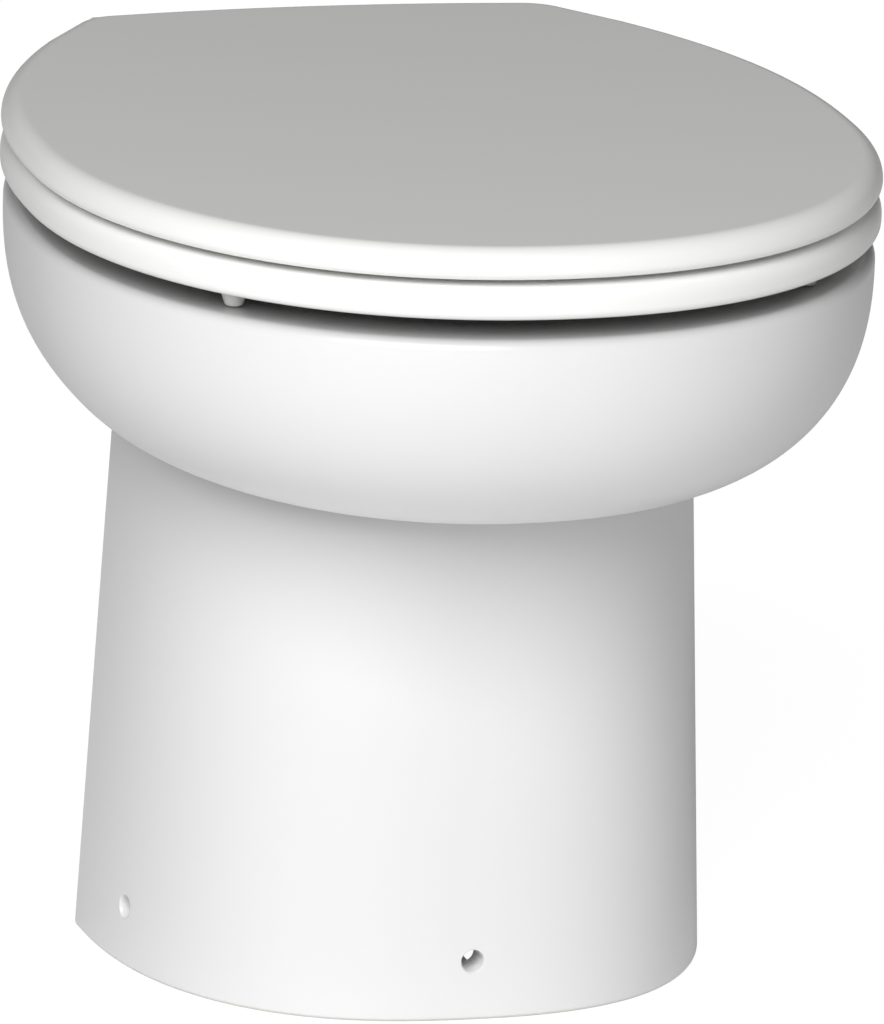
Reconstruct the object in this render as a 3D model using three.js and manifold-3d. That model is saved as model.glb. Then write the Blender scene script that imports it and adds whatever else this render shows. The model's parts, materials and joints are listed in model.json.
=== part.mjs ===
// Electric marine toilet: a china bowl on a hollow pedestal, with a hinged seat and lid,
// a macerator pump behind the pedestal and a solenoid valve for the rinse water.
// Millimetres. +Z is up, the front of the bowl points along -Y, and the floor is z = 0.
import * as THREE from "three";
import { mergeVertices } from "three/addons/utils/BufferGeometryUtils.js";
import Module from "manifold-3d";

const wasm = await Module();
wasm.setup();

// Shared clearances
const seatGap = 0.3;
const runGap = 0.4;
const pinGap = 0.1;
const ringSetback = 1;
const cutOver = 3;
const edgeAngles = [0, 30, 60, 90];
const softAngles = [0, 45, 90];

// Plan of the rim, seat and lid, measured from the widest line
const rimHalfWidth = 185;
const rimFront = 203.5;
const rimBack = 227;
const rimBackHalfWidth = 105.5;
const rimBackBow = 7;
const frontPower = 2.1;
const rearPower = 2.31;
const frontSteps = 22;
const rearSteps = 6;
const backSteps = 4;

// Heights of the rim and what stands over it
const rimHeight = 333.5;
const seatLift = 9;
const seatThickness = 14.5;
const lidLift = 3;
const lidThickness = 13.5;

// Lid and seat edges
const lidEdgeRadius = 8.7;
const lidEdgeDrop = 9.5;
const lidUnderRadius = 3;
const seatEdgeRadius = 6;
const seatUnderRadius = 3;
const seatInnerRadius = 5;
const apertureHalfWidth = 112;
const apertureFront = 140;
const apertureBack = 118;

// China dish under the rim
const chinaWall = 9;
const rimLandThickness = 14;
const rimEdgeRadius = 5;
const rimInset = 2;
const dishDepth = 99.8;
const dishSideInset = 99.2;
const dishFrontInset = 94.4;
const dishBackInset = 65.2;
const dishPower = 2.4;
const dishSteps = 6;
const hollowSteps = 4;

// China basin: mouth, rinse channel under the rim, slope and sump
const mouthHalfWidth = 120;
const mouthFront = 148;
const mouthBack = 126;
const mouthEdgeRadius = 6;
const basinPower = 2.2;
const basinSteps = 32;
const lipThickness = 8;
const lipDepth = 38;
const channelWidth = 12;
const channelHeight = 20;
const shelfShare = 0.55;
const shelfHalfWidth = 104;
const shelfFront = 108;
const shelfBack = 122;
const throatShare = 0.795;
const throatHalfWidth = 60;
const throatFront = 32;
const throatBack = 92;
const sumpRise = 30;
const sumpHalfWidth = 33;
const outletY = 34;
const outletRadius = 26;
const hornRadius = 38;
const hornLipRadius = 45;
const hornLipThickness = 8;

// China deck that carries the hinges
const deckThickness = 15;
const deckReach = 34;
const deckHalfWidth = 104;
const deckRootDepth = 40;
const deckCornerRadius = 22;
const deckFlare = 6;

// China pedestal
const footHalfWidth = 135.5;
const neckHalfWidth = 125;
const pedestalBack = 80;
const footFront = 88;
const neckFront = 80.5;
const pedestalPower = 2.45;
const pedestalWall = 11;
const pedestalSteps = 22;
const holeRadius = 4.8;
const holeHeight = 26.5;
const sideHoleY = 16;
const holeSides = 12;

// Rinse water inlet through the back of the china
const inletDrop = 30;
const inletBossRadius = 17;
const inletRadius = 9;

// Floor brackets behind the fixing holes
const bracketWidth = 36;
const bracketHeight = 42;
const bracketFoot = 34;
const bracketThickness = 6;
const bracketScrewRadius = 2.6;
const bracketScrewSpacing = 18;

// Seat and lid bumpers
const bumperRadius = 6.5;
const bumperTipRadius = 3.8;
const bumperStemRadius = 3;
const bumperStemLength = 6;
const frontBumperInset = 59;
const frontBumperSetback = 77.5;
const rearBumperInset = 57;
const rearBumperSetback = 97;
const lidBumperInset = 73;
const lidBumperSetback = 85.5;
const bumperSides = 12;

// Hinges
const hingeSpacing = 150;
const hingeSetback = 13;
const barrelRadius = 7.5;
const pinRadius = 3;
const postWidth = 16;
const postDepth = 13;
const postBaseRadius = 11.5;
const postBaseThickness = 3;
const knuckleWidth = 12;
const knuckleGap = 1;
const armRoot = 9;
const armInset = 3;
const armShare = 0.8;
const boltCover = 2;
const hingeSides = 16;
const boltRadius = 4;
const boltLength = 58;
const deckHoleRadius = 7;
const washerRadius = 13;
const washerThickness = 2.5;
const nutRadius = 8;
const nutHeight = 10;
const wingReach = 17;
const wingThickness = 4;
const wingHeight = 12;
const wingDrop = 3;

// Outlet seal, clamp ring and its bolts
const sealThickness = 3.4;
const flangeRadius = 58;
const flangeThickness = 8;
const clampThickness = 6;
const clampSplitGap = 3;
const clampBoltCircle = 103;
const clampBoltRadius = 3;
const clampHeadRadius = 5.5;
const clampHeadHeight = 4;
const clampBoltSpare = 6;
const clampBolts = 4;
const flangeSides = 28;
const boltSides = 10;
const headSides = 6;

// Macerator housing
const shaftHeight = 98;
const chamberRadius = 46;
const chamberBore = 40;
const chamberFront = 2;
const chamberBack = 66;
const chamberBackWall = 8;
const capFlangeRadius = 48;
const capFlangeThickness = 7;
const neckRadius = 31;
const neckLength = 4;
const pumpSides = 24;
const branchDrop = 28;
const branchY = 47;
const pipeRadius = 19;
const pipeBore = 15;
const pipeX = 100;
const bendRadius = 24;
const bendSteps = 6;
const branchSteps = 8;
const pipeSides = 16;
const branchCollarLength = 9;
const branchEnd = 91;

// Inspection cap on the front of the pump
const capThickness = 6;
const capSpigotDepth = 8;
const gripWidth = 10;
const gripLength = 70;
const gripHeight = 12;
const capGrooveY = 4;
const capGrooveWidth = 3;
const capGrooveDepth = 2.6;
const capRingSpare = 0.3;

// Cutter, wear plate and impeller
const shaftRadius = 5;
const shaftFront = 14;
const cutterReach = 32;
const cutterWidth = 14;
const cutterThickness = 4;
const cutterHubRadius = 10;
const cutterY = 20;
const wearPlateY = 37;
const wearPlateThickness = 3;
const wearPlateBore = 17;
const impellerRadius = 36;
const impellerThickness = 10;
const impellerHubRadius = 12;
const impellerY = 43;
const vaneCount = 6;
const vaneThickness = 4;
const glandBore = 12;
const glandLength = 6;

// Motor
const motorRadius = 38;
const motorWall = 4;
const bellThickness = 10;
const motorLength = 92;
const endCapDepth = 16;
const bearingRadius = 11;
const bearingThickness = 7;
const rotorRadius = 25;
const rotorLength = 50;
const rotorOffset = 18;
const rotorSlots = 8;
const slotWidth = 4;
const slotDepth = 5;
const commutatorRadius = 12;
const commutatorLength = 10;
const magnetThickness = 6;
const brushWidth = 6;
const brushLength = 16;
const brushInset = 2;
const brushRingBore = 14;
const magnetOverhang = 2;
const commutatorOffset = 4;
const tieRodRadius = 2.5;
const tieRodSpacing = 90;
const tieEarRadius = 6;
const tieHeadRadius = 4.5;
const tieHeadHeight = 4;
const cableGlandRadius = 8;
const cableGlandHeight = 12;
const cableRadius = 3.5;
const cableNeckRadius = 5;
const motorSides = 24;

// Discharge valve and spigot
const valveFlangeThickness = 3;
const duckbillLength = 30;
const duckbillWall = 1.5;
const duckbillMouth = 2.2;
const duckbillSlit = 0.6;
const duckbillGap = 1.4;
const valveFlangeInset = 1;
const collarRadius = 25;
const collarThickness = 5;
const unionRadius = 31;
const unionLip = 4;
const spigotRadius = 17;
const spigotEnd = 255;
const barbCount = 3;
const barbPitch = 11;
const barbRise = 2;
const barbStart = 8;

// Solenoid valve, its bracket and the rinse hose
const hosePlane = 244;
const hoseRadius = 8;
const hoseBore = 5;
const hoseBend = 64;
const hoseBendSteps = 8;
const hoseSides = 10;
const stemRadius = 4.6;
const stemBore = 3;
const stemReach = 14;
const hoseSteps = 16;
const spudTail = 24;
const spudCollarRadius = 14;
const spudCollarThickness = 4;
const spudHead = 8;
const spudDrop = 20;
const valveX = 95;
const valveWidth = 34;
const valveDepth = 30;
const valveHeight = 25;
const valveRise = 55.5;
const valveInlet = 34;
const inletStemRadius = 7;
const inletStemBore = 5;
const valveChamberRadius = 12;
const valveChamberDepth = 8;
const valvePortRadius = 3;
const coilRadius = 15;
const coilHeight = 34;
const coreTubeRadius = 7;
const coreFlangeRadius = 14;
const coreFlangeThickness = 3;
const coreTubeCap = 3;
const plungerRadius = 5;
const plungerLength = 20;
const springLength = 21;
const springWire = 0.8;
const springRadius = 3.6;
const springTurns = 5;
const springStepsPerTurn = 8;
const springSides = 5;
const diaphragmThickness = 1.6;
const diaphragmRadius = 11;
const diaphragmRise = 2;
const clipY = 197;
const clipWidth = 14;
const clipWall = 3;
const clipTabWidth = 16;
const clipShelfThickness = 3;
const terminalWidth = 6;
const terminalHeight = 9;
const terminalThickness = 0.8;
const terminalSpacing = 14;

// Sizes worked out from the ones above
const seatBottom = rimHeight + seatLift;
const seatTop = seatBottom + seatThickness;
const lidBottom = seatTop + lidLift;
const lidTop = lidBottom + lidThickness;
const rimReach = rimBack + rimBackBow;
const hingeY = rimReach + hingeSetback;
const hingeZ = seatTop + lidLift / 2;
const deckBack = rimBack + deckReach;
const dishBottom = rimHeight - dishDepth;
const hingeX = hingeSpacing / 2;
const flangeBottom = shaftHeight + chamberRadius + neckLength;
const flangeTop = flangeBottom + flangeThickness;
const sealBottom = flangeTop + seatGap;
const sealTop = sealBottom + sealThickness;
const hornBottom = sealTop + seatGap;
const sumpDepth = rimHeight - hornBottom - sumpRise;
const throatDepth = sumpDepth * throatShare;
const shelfDepth = sumpDepth * shelfShare;
const clampBottom = hornBottom + hornLipThickness + seatGap;
const clampTop = clampBottom + clampThickness;
const bellFront = chamberBack + seatGap;
const casingFront = bellFront + bellThickness + seatGap;
const casingBack = casingFront + motorLength;
const endCapBack = casingBack + seatGap + endCapDepth;
const pipeZ = shaftHeight - branchDrop;
const postBottom = rimHeight + seatGap;
const inletZ = rimHeight - inletDrop;
const placeY = -(deckBack - rimFront) / 2;

// The seat's knuckles lie outside the hinge posts and the lid's lie inside them
const postOut = hingeX + postWidth / 2;
const postIn = hingeX - postWidth / 2;
const seatKnuckle = [postOut + knuckleGap, postOut + knuckleGap + knuckleWidth];
const lidKnuckle = [postIn - knuckleGap - knuckleWidth, postIn - knuckleGap];
const boltTop = hingeZ - pinRadius - pinGap - boltCover;
const washerTop = rimHeight - deckThickness - seatGap;
const nutTop = washerTop - washerThickness - seatGap;
const frontBumperX = rimHalfWidth - frontBumperInset;
const frontBumperY = frontBumperSetback - rimFront;
const rearBumperX = rimHalfWidth - rearBumperInset;
const rearBumperY = rimBack - rearBumperSetback;
const lidBumperX = rimHalfWidth - lidBumperInset;
const lidBumperY = lidBumperSetback - rimFront;
const seatBumperPlaces = [
  ["front_left", -frontBumperX, frontBumperY],
  ["front_right", frontBumperX, frontBumperY],
  ["rear_left", -rearBumperX, rearBumperY],
  ["rear_right", rearBumperX, rearBumperY],
];
const lidBumperPlaces = [
  ["left", -lidBumperX, lidBumperY],
  ["right", lidBumperX, lidBumperY],
];

// Places along the motor, the discharge pipe and the rinse valve
const rotorFront = casingFront + rotorOffset;
const rotorBack = rotorFront + rotorLength;
const commutatorFront = rotorBack + commutatorOffset;
const commutatorBack = commutatorFront + commutatorLength;
const casingBore = motorRadius - motorWall;
const glandY = endCapBack - endCapDepth / 2;
const glandTop = shaftHeight + motorRadius + cableGlandHeight;
const valveFront = branchEnd + seatGap;
const valveBack = valveFront + valveFlangeThickness;
const collarFront = valveBack + seatGap;
const hoseTop = inletZ - spudDrop - seatGap;
const valveBottom = pipeZ + valveRise;
const hoseLow = valveBottom + valveHeight / 2;
const valveLeft = valveX - valveWidth / 2;
const valveTop = valveBottom + valveHeight;
const coreFoot = valveTop + seatGap;
const diaphragmLow = valveTop - valveChamberDepth + diaphragmRise;
const plungerLow = diaphragmLow + diaphragmThickness + seatGap;
const springLow = plungerLow + plungerLength + seatGap;
const coreEnd = springLow + springLength + seatGap;
const coilFoot = coreFoot + coreFlangeThickness + seatGap;

// Finishes
const finish = (color, roughness, metalness) => {
  return new THREE.MeshStandardMaterial({ color, roughness, metalness });
};
const china = () => finish(0xf3f3f1, 0.12, 0);
const seatPlastic = () => finish(0xf0f0ee, 0.2, 0);
const bumperRubber = () => finish(0xe9e9e6, 0.6, 0);
const whiteNylon = () => finish(0xe6e6e2, 0.45, 0);
const blackPlastic = () => finish(0x1d1e20, 0.5, 0);
const greyPlastic = () => finish(0x8b8f93, 0.5, 0);
const blackRubber = () => finish(0x161616, 0.85, 0);
const stainless = () => finish(0xc3c5c7, 0.28, 1);
const motorPaint = () => finish(0x24272b, 0.4, 0.2);
const laminations = () => finish(0x6d6f72, 0.5, 0.9);
const ferrite = () => finish(0x3a3a3c, 0.8, 0);
const clearHose = () => finish(0xdfe3e4, 0.3, 0);

// A closed mesh as a solid that can be joined and cut
function solid(geometry) {
  const bare = new THREE.BufferGeometry();
  const source = geometry.index ? geometry.toNonIndexed() : geometry;
  bare.setAttribute("position", source.getAttribute("position").clone());
  const merged = mergeVertices(bare);
  const vertProperties = new Float32Array(merged.getAttribute("position").array);
  const triangles = [];
  for (let i = 0; i < merged.index.count; i += 3) {
    const [a, b, c] = [0, 1, 2].map((step) => merged.index.getX(i + step));
    if (a !== b && b !== c && c !== a) triangles.push(a, b, c);
  }
  const triVerts = new Uint32Array(triangles);
  return new wasm.Manifold(new wasm.Mesh({ numProp: 3, vertProperties, triVerts }));
}

function join(...pieces) {
  return pieces.reduce((whole, piece) => whole.add(piece));
}

function cut(body, ...tools) {
  return tools.reduce((rest, tool) => rest.subtract(tool), body);
}

// A named mesh of a solid, in its own material
function part(name, body, material) {
  const mesh = body.getMesh();
  const geometry = new THREE.BufferGeometry();
  geometry.setAttribute("position", new THREE.Float32BufferAttribute(mesh.vertProperties, 3));
  geometry.setIndex(Array.from(mesh.triVerts));
  geometry.computeVertexNormals();
  const result = new THREE.Mesh(geometry, material);
  result.name = name;
  return result;
}

function block(x0, x1, y0, y1, z0, z1) {
  const box = new THREE.BoxGeometry(x1 - x0, y1 - y0, z1 - z0);
  box.translate((x0 + x1) / 2, (y0 + y1) / 2, (z0 + z1) / 2);
  return solid(box);
}

// Round bars along each axis, from one end to the other; the first kind may taper
function taperZ(lowRadius, highRadius, x, y, z0, z1, sides) {
  const bar = new THREE.CylinderGeometry(highRadius, lowRadius, z1 - z0, sides);
  bar.rotateX(Math.PI / 2);
  bar.translate(x, y, (z0 + z1) / 2);
  return solid(bar);
}

function rodZ(radius, x, y, z0, z1, sides) {
  return taperZ(radius, radius, x, y, z0, z1, sides);
}

function rodY(radius, x, y0, y1, z, sides) {
  const bar = new THREE.CylinderGeometry(radius, radius, y1 - y0, sides);
  bar.translate(x, (y0 + y1) / 2, z);
  return solid(bar);
}

function rodX(radius, x0, x1, y, z, sides) {
  const bar = new THREE.CylinderGeometry(radius, radius, x1 - x0, sides);
  bar.rotateZ(Math.PI / 2);
  bar.translate((x0 + x1) / 2, y, z);
  return solid(bar);
}

// A body of revolution about +Y from a closed outline of [radius, y] points
function turnedY(outline, x, z, sides) {
  const points = outline.map(([radius, y]) => new THREE.Vector2(radius, y));
  const body = new THREE.LatheGeometry(points, sides);
  body.translate(x, 0, z);
  return solid(body);
}

// An outline extruded along +Z
function plateZ(outline, z0, z1) {
  const shape = new THREE.Shape(outline.map(([x, y]) => new THREE.Vector2(x, y)));
  const plate = new THREE.ExtrudeGeometry(shape, { depth: z1 - z0, bevelEnabled: false });
  plate.translate(0, 0, z0);
  return solid(plate);
}

// An outline of [y, z] points extruded along +X
function plateX(outline, x0, x1) {
  const shape = new THREE.Shape(outline.map(([y, z]) => new THREE.Vector2(y, z)));
  const plate = new THREE.ExtrudeGeometry(shape, { depth: x1 - x0, bevelEnabled: false });
  plate.rotateY(Math.PI / 2);
  plate.rotateX(Math.PI / 2);
  plate.translate(x0, 0, 0);
  return solid(plate);
}

// A round tube or bar along a curve
function swept(curve, radius, sides, steps) {
  const section = new THREE.Shape();
  section.absarc(0, 0, radius, 0, Math.PI * 2);
  const body = new THREE.ExtrudeGeometry(section, {
    extrudePath: curve,
    curveSegments: sides,
    steps,
    bevelEnabled: false,
  });
  return solid(body);
}

// A lathed skin whose rings are drawn out to the given loops, one loop for each height
function drawn(levels, closed) {
  const count = levels[0].loop.length;
  const middle = levels[0].loop.reduce((sum, point) => sum + point[1], 0) / count;
  const profile = levels.map((level, index) => new THREE.Vector2(1, index));
  if (closed) profile.push(profile[0]);
  if (!closed) {
    profile.unshift(new THREE.Vector2(0, -1));
    profile.push(new THREE.Vector2(0, levels.length));
  }
  const skin = new THREE.LatheGeometry(profile, count);
  const position = skin.getAttribute("position");
  const rings = profile.length;
  for (let index = 0; index < position.count; index += 1) {
    const around = Math.floor(index / rings) % count;
    const ring = index % rings;
    const level = closed ? levels[ring % levels.length] : levels[ring - 1];
    if (level) {
      const [x, y] = level.loop[around];
      position.setXYZ(index, x, y, level.z);
    } else {
      const end = ring === 0 ? levels[0] : levels[levels.length - 1];
      position.setXYZ(index, 0, middle, end.z);
    }
  }
  return solid(skin);
}

// Inset and drop of a rounded edge at an angle, 0 at its side and 90 at its top
function rounding(radius, angle, height = radius) {
  const turn = THREE.MathUtils.degToRad(angle);
  return [radius * (1 - Math.cos(turn)), height * (1 - Math.sin(turn))];
}

// Points of a rim outline: round front, tapering sides and a bowed back edge
function rimLoop(inset, backInset = inset, frontInset = inset) {
  const halfWidth = rimHalfWidth - inset;
  const front = rimFront - frontInset;
  const back = rimBack - backInset;
  const narrowed = rimBackHalfWidth * (1 - inset / rimHalfWidth);
  const backHalfWidth = Math.max(rimBackHalfWidth - inset, narrowed);
  const points = [];
  for (let step = 0; step < rearSteps; step += 1) {
    const share = step / rearSteps;
    points.push([halfWidth - (halfWidth - backHalfWidth) * share ** rearPower, back * share]);
  }
  for (let step = 0; step <= backSteps; step += 1) {
    const share = 1 - (2 * step) / backSteps;
    points.push([backHalfWidth * share, back + rimBackBow * (1 - share ** 2)]);
  }
  for (let step = rearSteps - 1; step >= 0; step -= 1) {
    const share = step / rearSteps;
    points.push([-halfWidth + (halfWidth - backHalfWidth) * share ** rearPower, back * share]);
  }
  for (let step = 1; step < frontSteps; step += 1) {
    const turn = (Math.PI * step) / frontSteps;
    const along = Math.abs(Math.cos(turn)) ** (2 / frontPower) * -Math.sign(Math.cos(turn));
    points.push([halfWidth * along, -front * Math.sin(turn) ** (2 / frontPower)]);
  }
  return points;
}

// Points of an egg: its widest line lies at middle, with its own reach to the front and the back
function eggLoop(halfWidth, front, back, middle, power, steps) {
  return Array.from({ length: steps }, (unused, step) => {
    const turn = (Math.PI * 2 * step) / steps;
    const [cosine, sine] = [Math.cos(turn), Math.sin(turn)];
    const x = halfWidth * Math.abs(cosine) ** (2 / power) * Math.sign(cosine);
    const reach = sine > 0 ? back - middle : front + middle;
    return [x, middle + reach * Math.abs(sine) ** (2 / power) * Math.sign(sine)];
  });
}

// Points of the pedestal's plan: a round front that ends square at the back
function pedestalLoop(halfWidth, front, back) {
  const points = [];
  for (let step = 0; step <= pedestalSteps; step += 1) {
    const turn = (Math.PI * step) / pedestalSteps;
    const along = Math.abs(Math.cos(turn)) ** (2 / pedestalPower) * -Math.sign(Math.cos(turn));
    const depth = (front + pedestalBack) * Math.sin(turn) ** (2 / pedestalPower);
    points.push([halfWidth * along, pedestalBack - depth]);
  }
  if (back > pedestalBack) points.push([halfWidth, back], [-halfWidth, back]);
  return points;
}

// Half width of the basin's plan at its widest line, and its reaches, at one depth under the rim
function basinLevel(depth, halfWidth, front, back, grow) {
  const middle = outletY * Math.min(depth / sumpDepth, 1);
  const loop = eggLoop(halfWidth + grow, front + grow, back + grow, middle, basinPower, basinSteps);
  return { z: rimHeight - depth - grow, loop };
}

function basinSkin(grow) {
  const channelOut = mouthHalfWidth + lipThickness + channelWidth;
  const widen = lipThickness + channelWidth;
  return [
    basinLevel(lipDepth - cutOver, channelOut, mouthFront + widen, mouthBack + widen, grow),
    basinLevel(shelfDepth, shelfHalfWidth, shelfFront, shelfBack, grow),
    basinLevel(throatDepth, throatHalfWidth, throatFront, throatBack, grow),
    basinLevel(sumpDepth, sumpHalfWidth, sumpHalfWidth - outletY, sumpHalfWidth + outletY, grow),
  ];
}

// Ring of the basin's mouth at one depth, grown outwards
function mouthLevel(depth, grow) {
  return basinLevel(depth, mouthHalfWidth + grow, mouthFront + grow, mouthBack + grow, 0);
}

function basinMouth() {
  const edge = edgeAngles.map((angle) => {
    const [inset, drop] = rounding(mouthEdgeRadius, angle);
    return mouthLevel(drop, inset);
  });
  return drawn([mouthLevel(lipDepth, 0), ...edge, mouthLevel(-cutOver, mouthEdgeRadius)], false);
}

// Water channel that runs round under the rim, open into the basin
function rinseChannel() {
  const outer = lipThickness + channelWidth;
  const top = lipDepth - channelHeight;
  return drawn(
    [
      mouthLevel(lipDepth, lipThickness),
      mouthLevel(lipDepth, outer),
      mouthLevel(top, outer),
      mouthLevel(top, lipThickness),
    ],
    true,
  );
}

// Outline of the china, that stands in from the seat's at the sides and the front
function chinaLoop(side, back, front) {
  return rimLoop(rimInset + side, back, rimInset + front);
}

// Rings of the dish: a round lip, an upright side and an under-curve to a flat bottom
function dishLevels(wall, steps) {
  const levels = [];
  for (let step = 0; step <= steps; step += 1) {
    const turn = (Math.PI / 2) * (1 - step / steps);
    const share = 1 - Math.cos(turn) ** (2 / dishPower);
    const fall = Math.sin(turn) ** (2 / dishPower);
    const z = rimHeight - rimEdgeRadius - (dishDepth - rimEdgeRadius - wall) * fall;
    const insets = [dishSideInset, dishBackInset, dishFrontInset].map((inset) => wall + share * inset);
    levels.push({ z, loop: chinaLoop(...insets) });
  }
  return levels;
}

function dishOutside() {
  const lip = edgeAngles.slice(1).map((angle) => {
    const [inset, drop] = rounding(rimEdgeRadius, angle);
    return { z: rimHeight - drop, loop: chinaLoop(inset, inset, inset) };
  });
  return drawn([...dishLevels(0, dishSteps), ...lip], false);
}

function dishInside() {
  const levels = dishLevels(chinaWall, hollowSteps);
  levels[levels.length - 1].z = rimHeight - rimLandThickness;
  return drawn(levels, false);
}

function pedestalBody(wall, back, z0, z1) {
  const level = (z) => {
    const share = z / dishBottom;
    const halfWidth = footHalfWidth + (neckHalfWidth - footHalfWidth) * share - wall;
    const front = footFront + (neckFront - footFront) * share - wall;
    return { z, loop: pedestalLoop(halfWidth, front, back) };
  };
  return drawn([level(z0), level(z1)], false);
}

function deckOutline() {
  const root = rimBack - deckRootDepth;
  const rootHalf = deckHalfWidth + deckFlare;
  const corner = edgeAngles.map((angle) => {
    const [inset, drop] = rounding(deckCornerRadius, angle);
    return [deckHalfWidth - inset, deckBack - drop];
  });
  const mirror = corner.map(([x, y]) => [-x, y]).reverse();
  return [[-rootHalf, root], [rootHalf, root], ...corner, ...mirror];
}

// Front and side fixing holes: each has a place and a direction square to the wall
function fixingHoles() {
  const share = holeHeight / dishBottom;
  const halfWidth = footHalfWidth + (neckHalfWidth - footHalfWidth) * share;
  const front = footFront + (neckFront - footFront) * share;
  const depth = (pedestalBack - sideHoleY) / (pedestalBack + front);
  const sideX = halfWidth * (1 - depth ** pedestalPower) ** (1 / pedestalPower);
  const slope = (halfWidth / (pedestalBack + front)) ** pedestalPower;
  const turn = Math.atan(slope * ((pedestalBack - sideHoleY) / sideX) ** (pedestalPower - 1));
  return [
    { name: "front", x: 0, y: -front, turn: -Math.PI / 2 },
    { name: "right", x: sideX, y: sideHoleY, turn: -turn },
    { name: "left", x: -sideX, y: sideHoleY, turn: Math.PI + turn },
  ];
}

// Turns a solid drawn along +X at the origin to a fixing hole
function atHole(body, hole) {
  return body.rotate([0, 0, THREE.MathUtils.radToDeg(hole.turn)]).translate([hole.x, hole.y, 0]);
}

function chinaBowl() {
  const shell = join(dishOutside(), pedestalBody(0, pedestalBack, 0, dishBottom + chinaWall));
  const deck = plateZ(deckOutline(), rimHeight - deckThickness, rimHeight);
  const ceiling = dishBottom + chinaWall + cutOver;
  const inside = pedestalBody(pedestalWall, pedestalBack + cutOver, -cutOver, ceiling);
  const hollow = join(dishInside(), inside);
  const horn = join(
    rodZ(hornRadius, 0, outletY, hornBottom, rimHeight - sumpDepth, flangeSides),
    rodZ(hornLipRadius, 0, outletY, hornBottom, hornBottom + hornLipThickness, flangeSides),
  );
  const basinOutside = drawn([...basinSkin(chinaWall)].reverse(), false);
  const bossRoot = mouthBack + lipThickness + channelWidth + chinaWall / 2;
  const boss = rodY(inletBossRadius, 0, bossRoot, rimReach, inletZ, holeSides);
  const body = join(cut(join(shell, deck), hollow), basinOutside, horn, boss);
  const basin = drawn([...basinSkin(0)].reverse(), false);
  const outlet = rodZ(outletRadius, 0, outletY, hornBottom - cutOver, rimHeight - throatDepth, flangeSides);
  const inletStart = mouthBack + lipThickness + channelWidth / 2;
  const inlet = rodY(inletRadius, 0, inletStart, rimReach + cutOver, inletZ, holeSides);
  const under = rimHeight - deckThickness - cutOver;
  const hingeHoles = [-hingeX, hingeX].map((x) => {
    return rodZ(deckHoleRadius, x, hingeY, under, rimHeight + cutOver, holeSides);
  });
  const fixings = fixingHoles().map((hole) => {
    return atHole(rodX(holeRadius, -pedestalWall - cutOver, cutOver, 0, holeHeight, holeSides), hole);
  });
  return cut(body, basinMouth(), rinseChannel(), basin, outlet, inlet, ...hingeHoles, ...fixings);
}

// An L-shaped bracket that stands inside the pedestal, square behind a fixing hole
function floorBracket(hole) {
  const half = bracketWidth / 2;
  const face = -pedestalWall;
  const leg = block(face - bracketThickness, 0, -half, half, 0, bracketHeight);
  const foot = block(face - bracketFoot, 0, -half, half, 0, bracketThickness);
  const screwX = face - (bracketFoot + bracketThickness) / 2;
  const screws = [-1, 1].map((side) => {
    const y = (side * bracketScrewSpacing) / 2;
    return rodZ(bracketScrewRadius, screwX, y, -cutOver, bracketThickness + cutOver, boltSides);
  });
  const pilot = rodX(holeRadius, face - bracketThickness - cutOver, cutOver, 0, holeHeight, holeSides);
  const inside = pedestalBody(pedestalWall + seatGap, pedestalBack, 0, bracketHeight + cutOver);
  return atHole(cut(join(leg, foot), ...screws, pilot), hole).intersect(inside);
}

function apertureLoop(grow) {
  const [front, back] = [apertureFront + grow, apertureBack + grow];
  return eggLoop(apertureHalfWidth + grow, front, back, 0, basinPower, basinSteps);
}

// Seat ring: a rounded outer edge, a flat crown and a rounded inner edge
function seatRing() {
  const crown = softAngles.map((angle) => {
    const [inset, drop] = rounding(seatEdgeRadius, angle);
    return { z: seatTop - drop, loop: rimLoop(inset) };
  });
  const under = [
    { z: seatBottom, loop: rimLoop(seatUnderRadius) },
    { z: seatBottom + seatUnderRadius, loop: rimLoop(0) },
  ];
  const inner = softAngles.map((angle) => {
    const [inset, drop] = rounding(seatInnerRadius, angle);
    return { z: seatTop - drop, loop: apertureLoop(inset) };
  });
  const below = { z: seatBottom - cutOver, loop: apertureLoop(0) };
  const above = { z: seatTop + cutOver, loop: apertureLoop(seatInnerRadius) };
  return cut(drawn([...under, ...crown], false), drawn([below, ...inner, above], false));
}

function lidPanel() {
  const crown = edgeAngles.map((angle) => {
    const [inset, drop] = rounding(lidEdgeRadius, angle, lidEdgeDrop);
    return { z: lidTop - drop, loop: rimLoop(inset) };
  });
  const under = [
    { z: lidBottom, loop: rimLoop(lidUnderRadius) },
    { z: lidBottom + lidUnderRadius, loop: rimLoop(0) },
  ];
  return drawn([...under, ...crown], false);
}

// A knuckle round the pin, with an arm to the back edge of the seat or lid
function knuckle(x0, x1, panelBottom, panelTop) {
  const root = rimBack - armRoot;
  const reach = hingeY - barrelRadius / 2;
  const half = barrelRadius * armShare;
  const arm = plateX(
    [
      [root, panelBottom + armInset],
      [reach, hingeZ - half],
      [reach, hingeZ + half],
      [root, panelTop - armInset],
    ],
    x0,
    x1,
  );
  const barrel = rodX(barrelRadius, x0, x1, hingeY, hingeZ, hingeSides);
  return join(arm, barrel);
}

function pinBore(x0, x1) {
  return rodX(pinRadius + pinGap, x0 - cutOver, x1 + cutOver, hingeY, hingeZ, hingeSides);
}

function mirrored([x0, x1], side) {
  return side > 0 ? [x0, x1] : [-x1, -x0];
}

function withKnuckles(panel, place, panelBottom, panelTop) {
  return [-1, 1].reduce((body, side) => {
    const [x0, x1] = mirrored(place, side);
    return cut(join(body, knuckle(x0, x1, panelBottom, panelTop)), pinBore(x0, x1));
  }, panel);
}

function stemSocket(x, y, z0, z1) {
  return rodZ(bumperStemRadius + seatGap, x, y, z0, z1, bumperSides);
}

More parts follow.
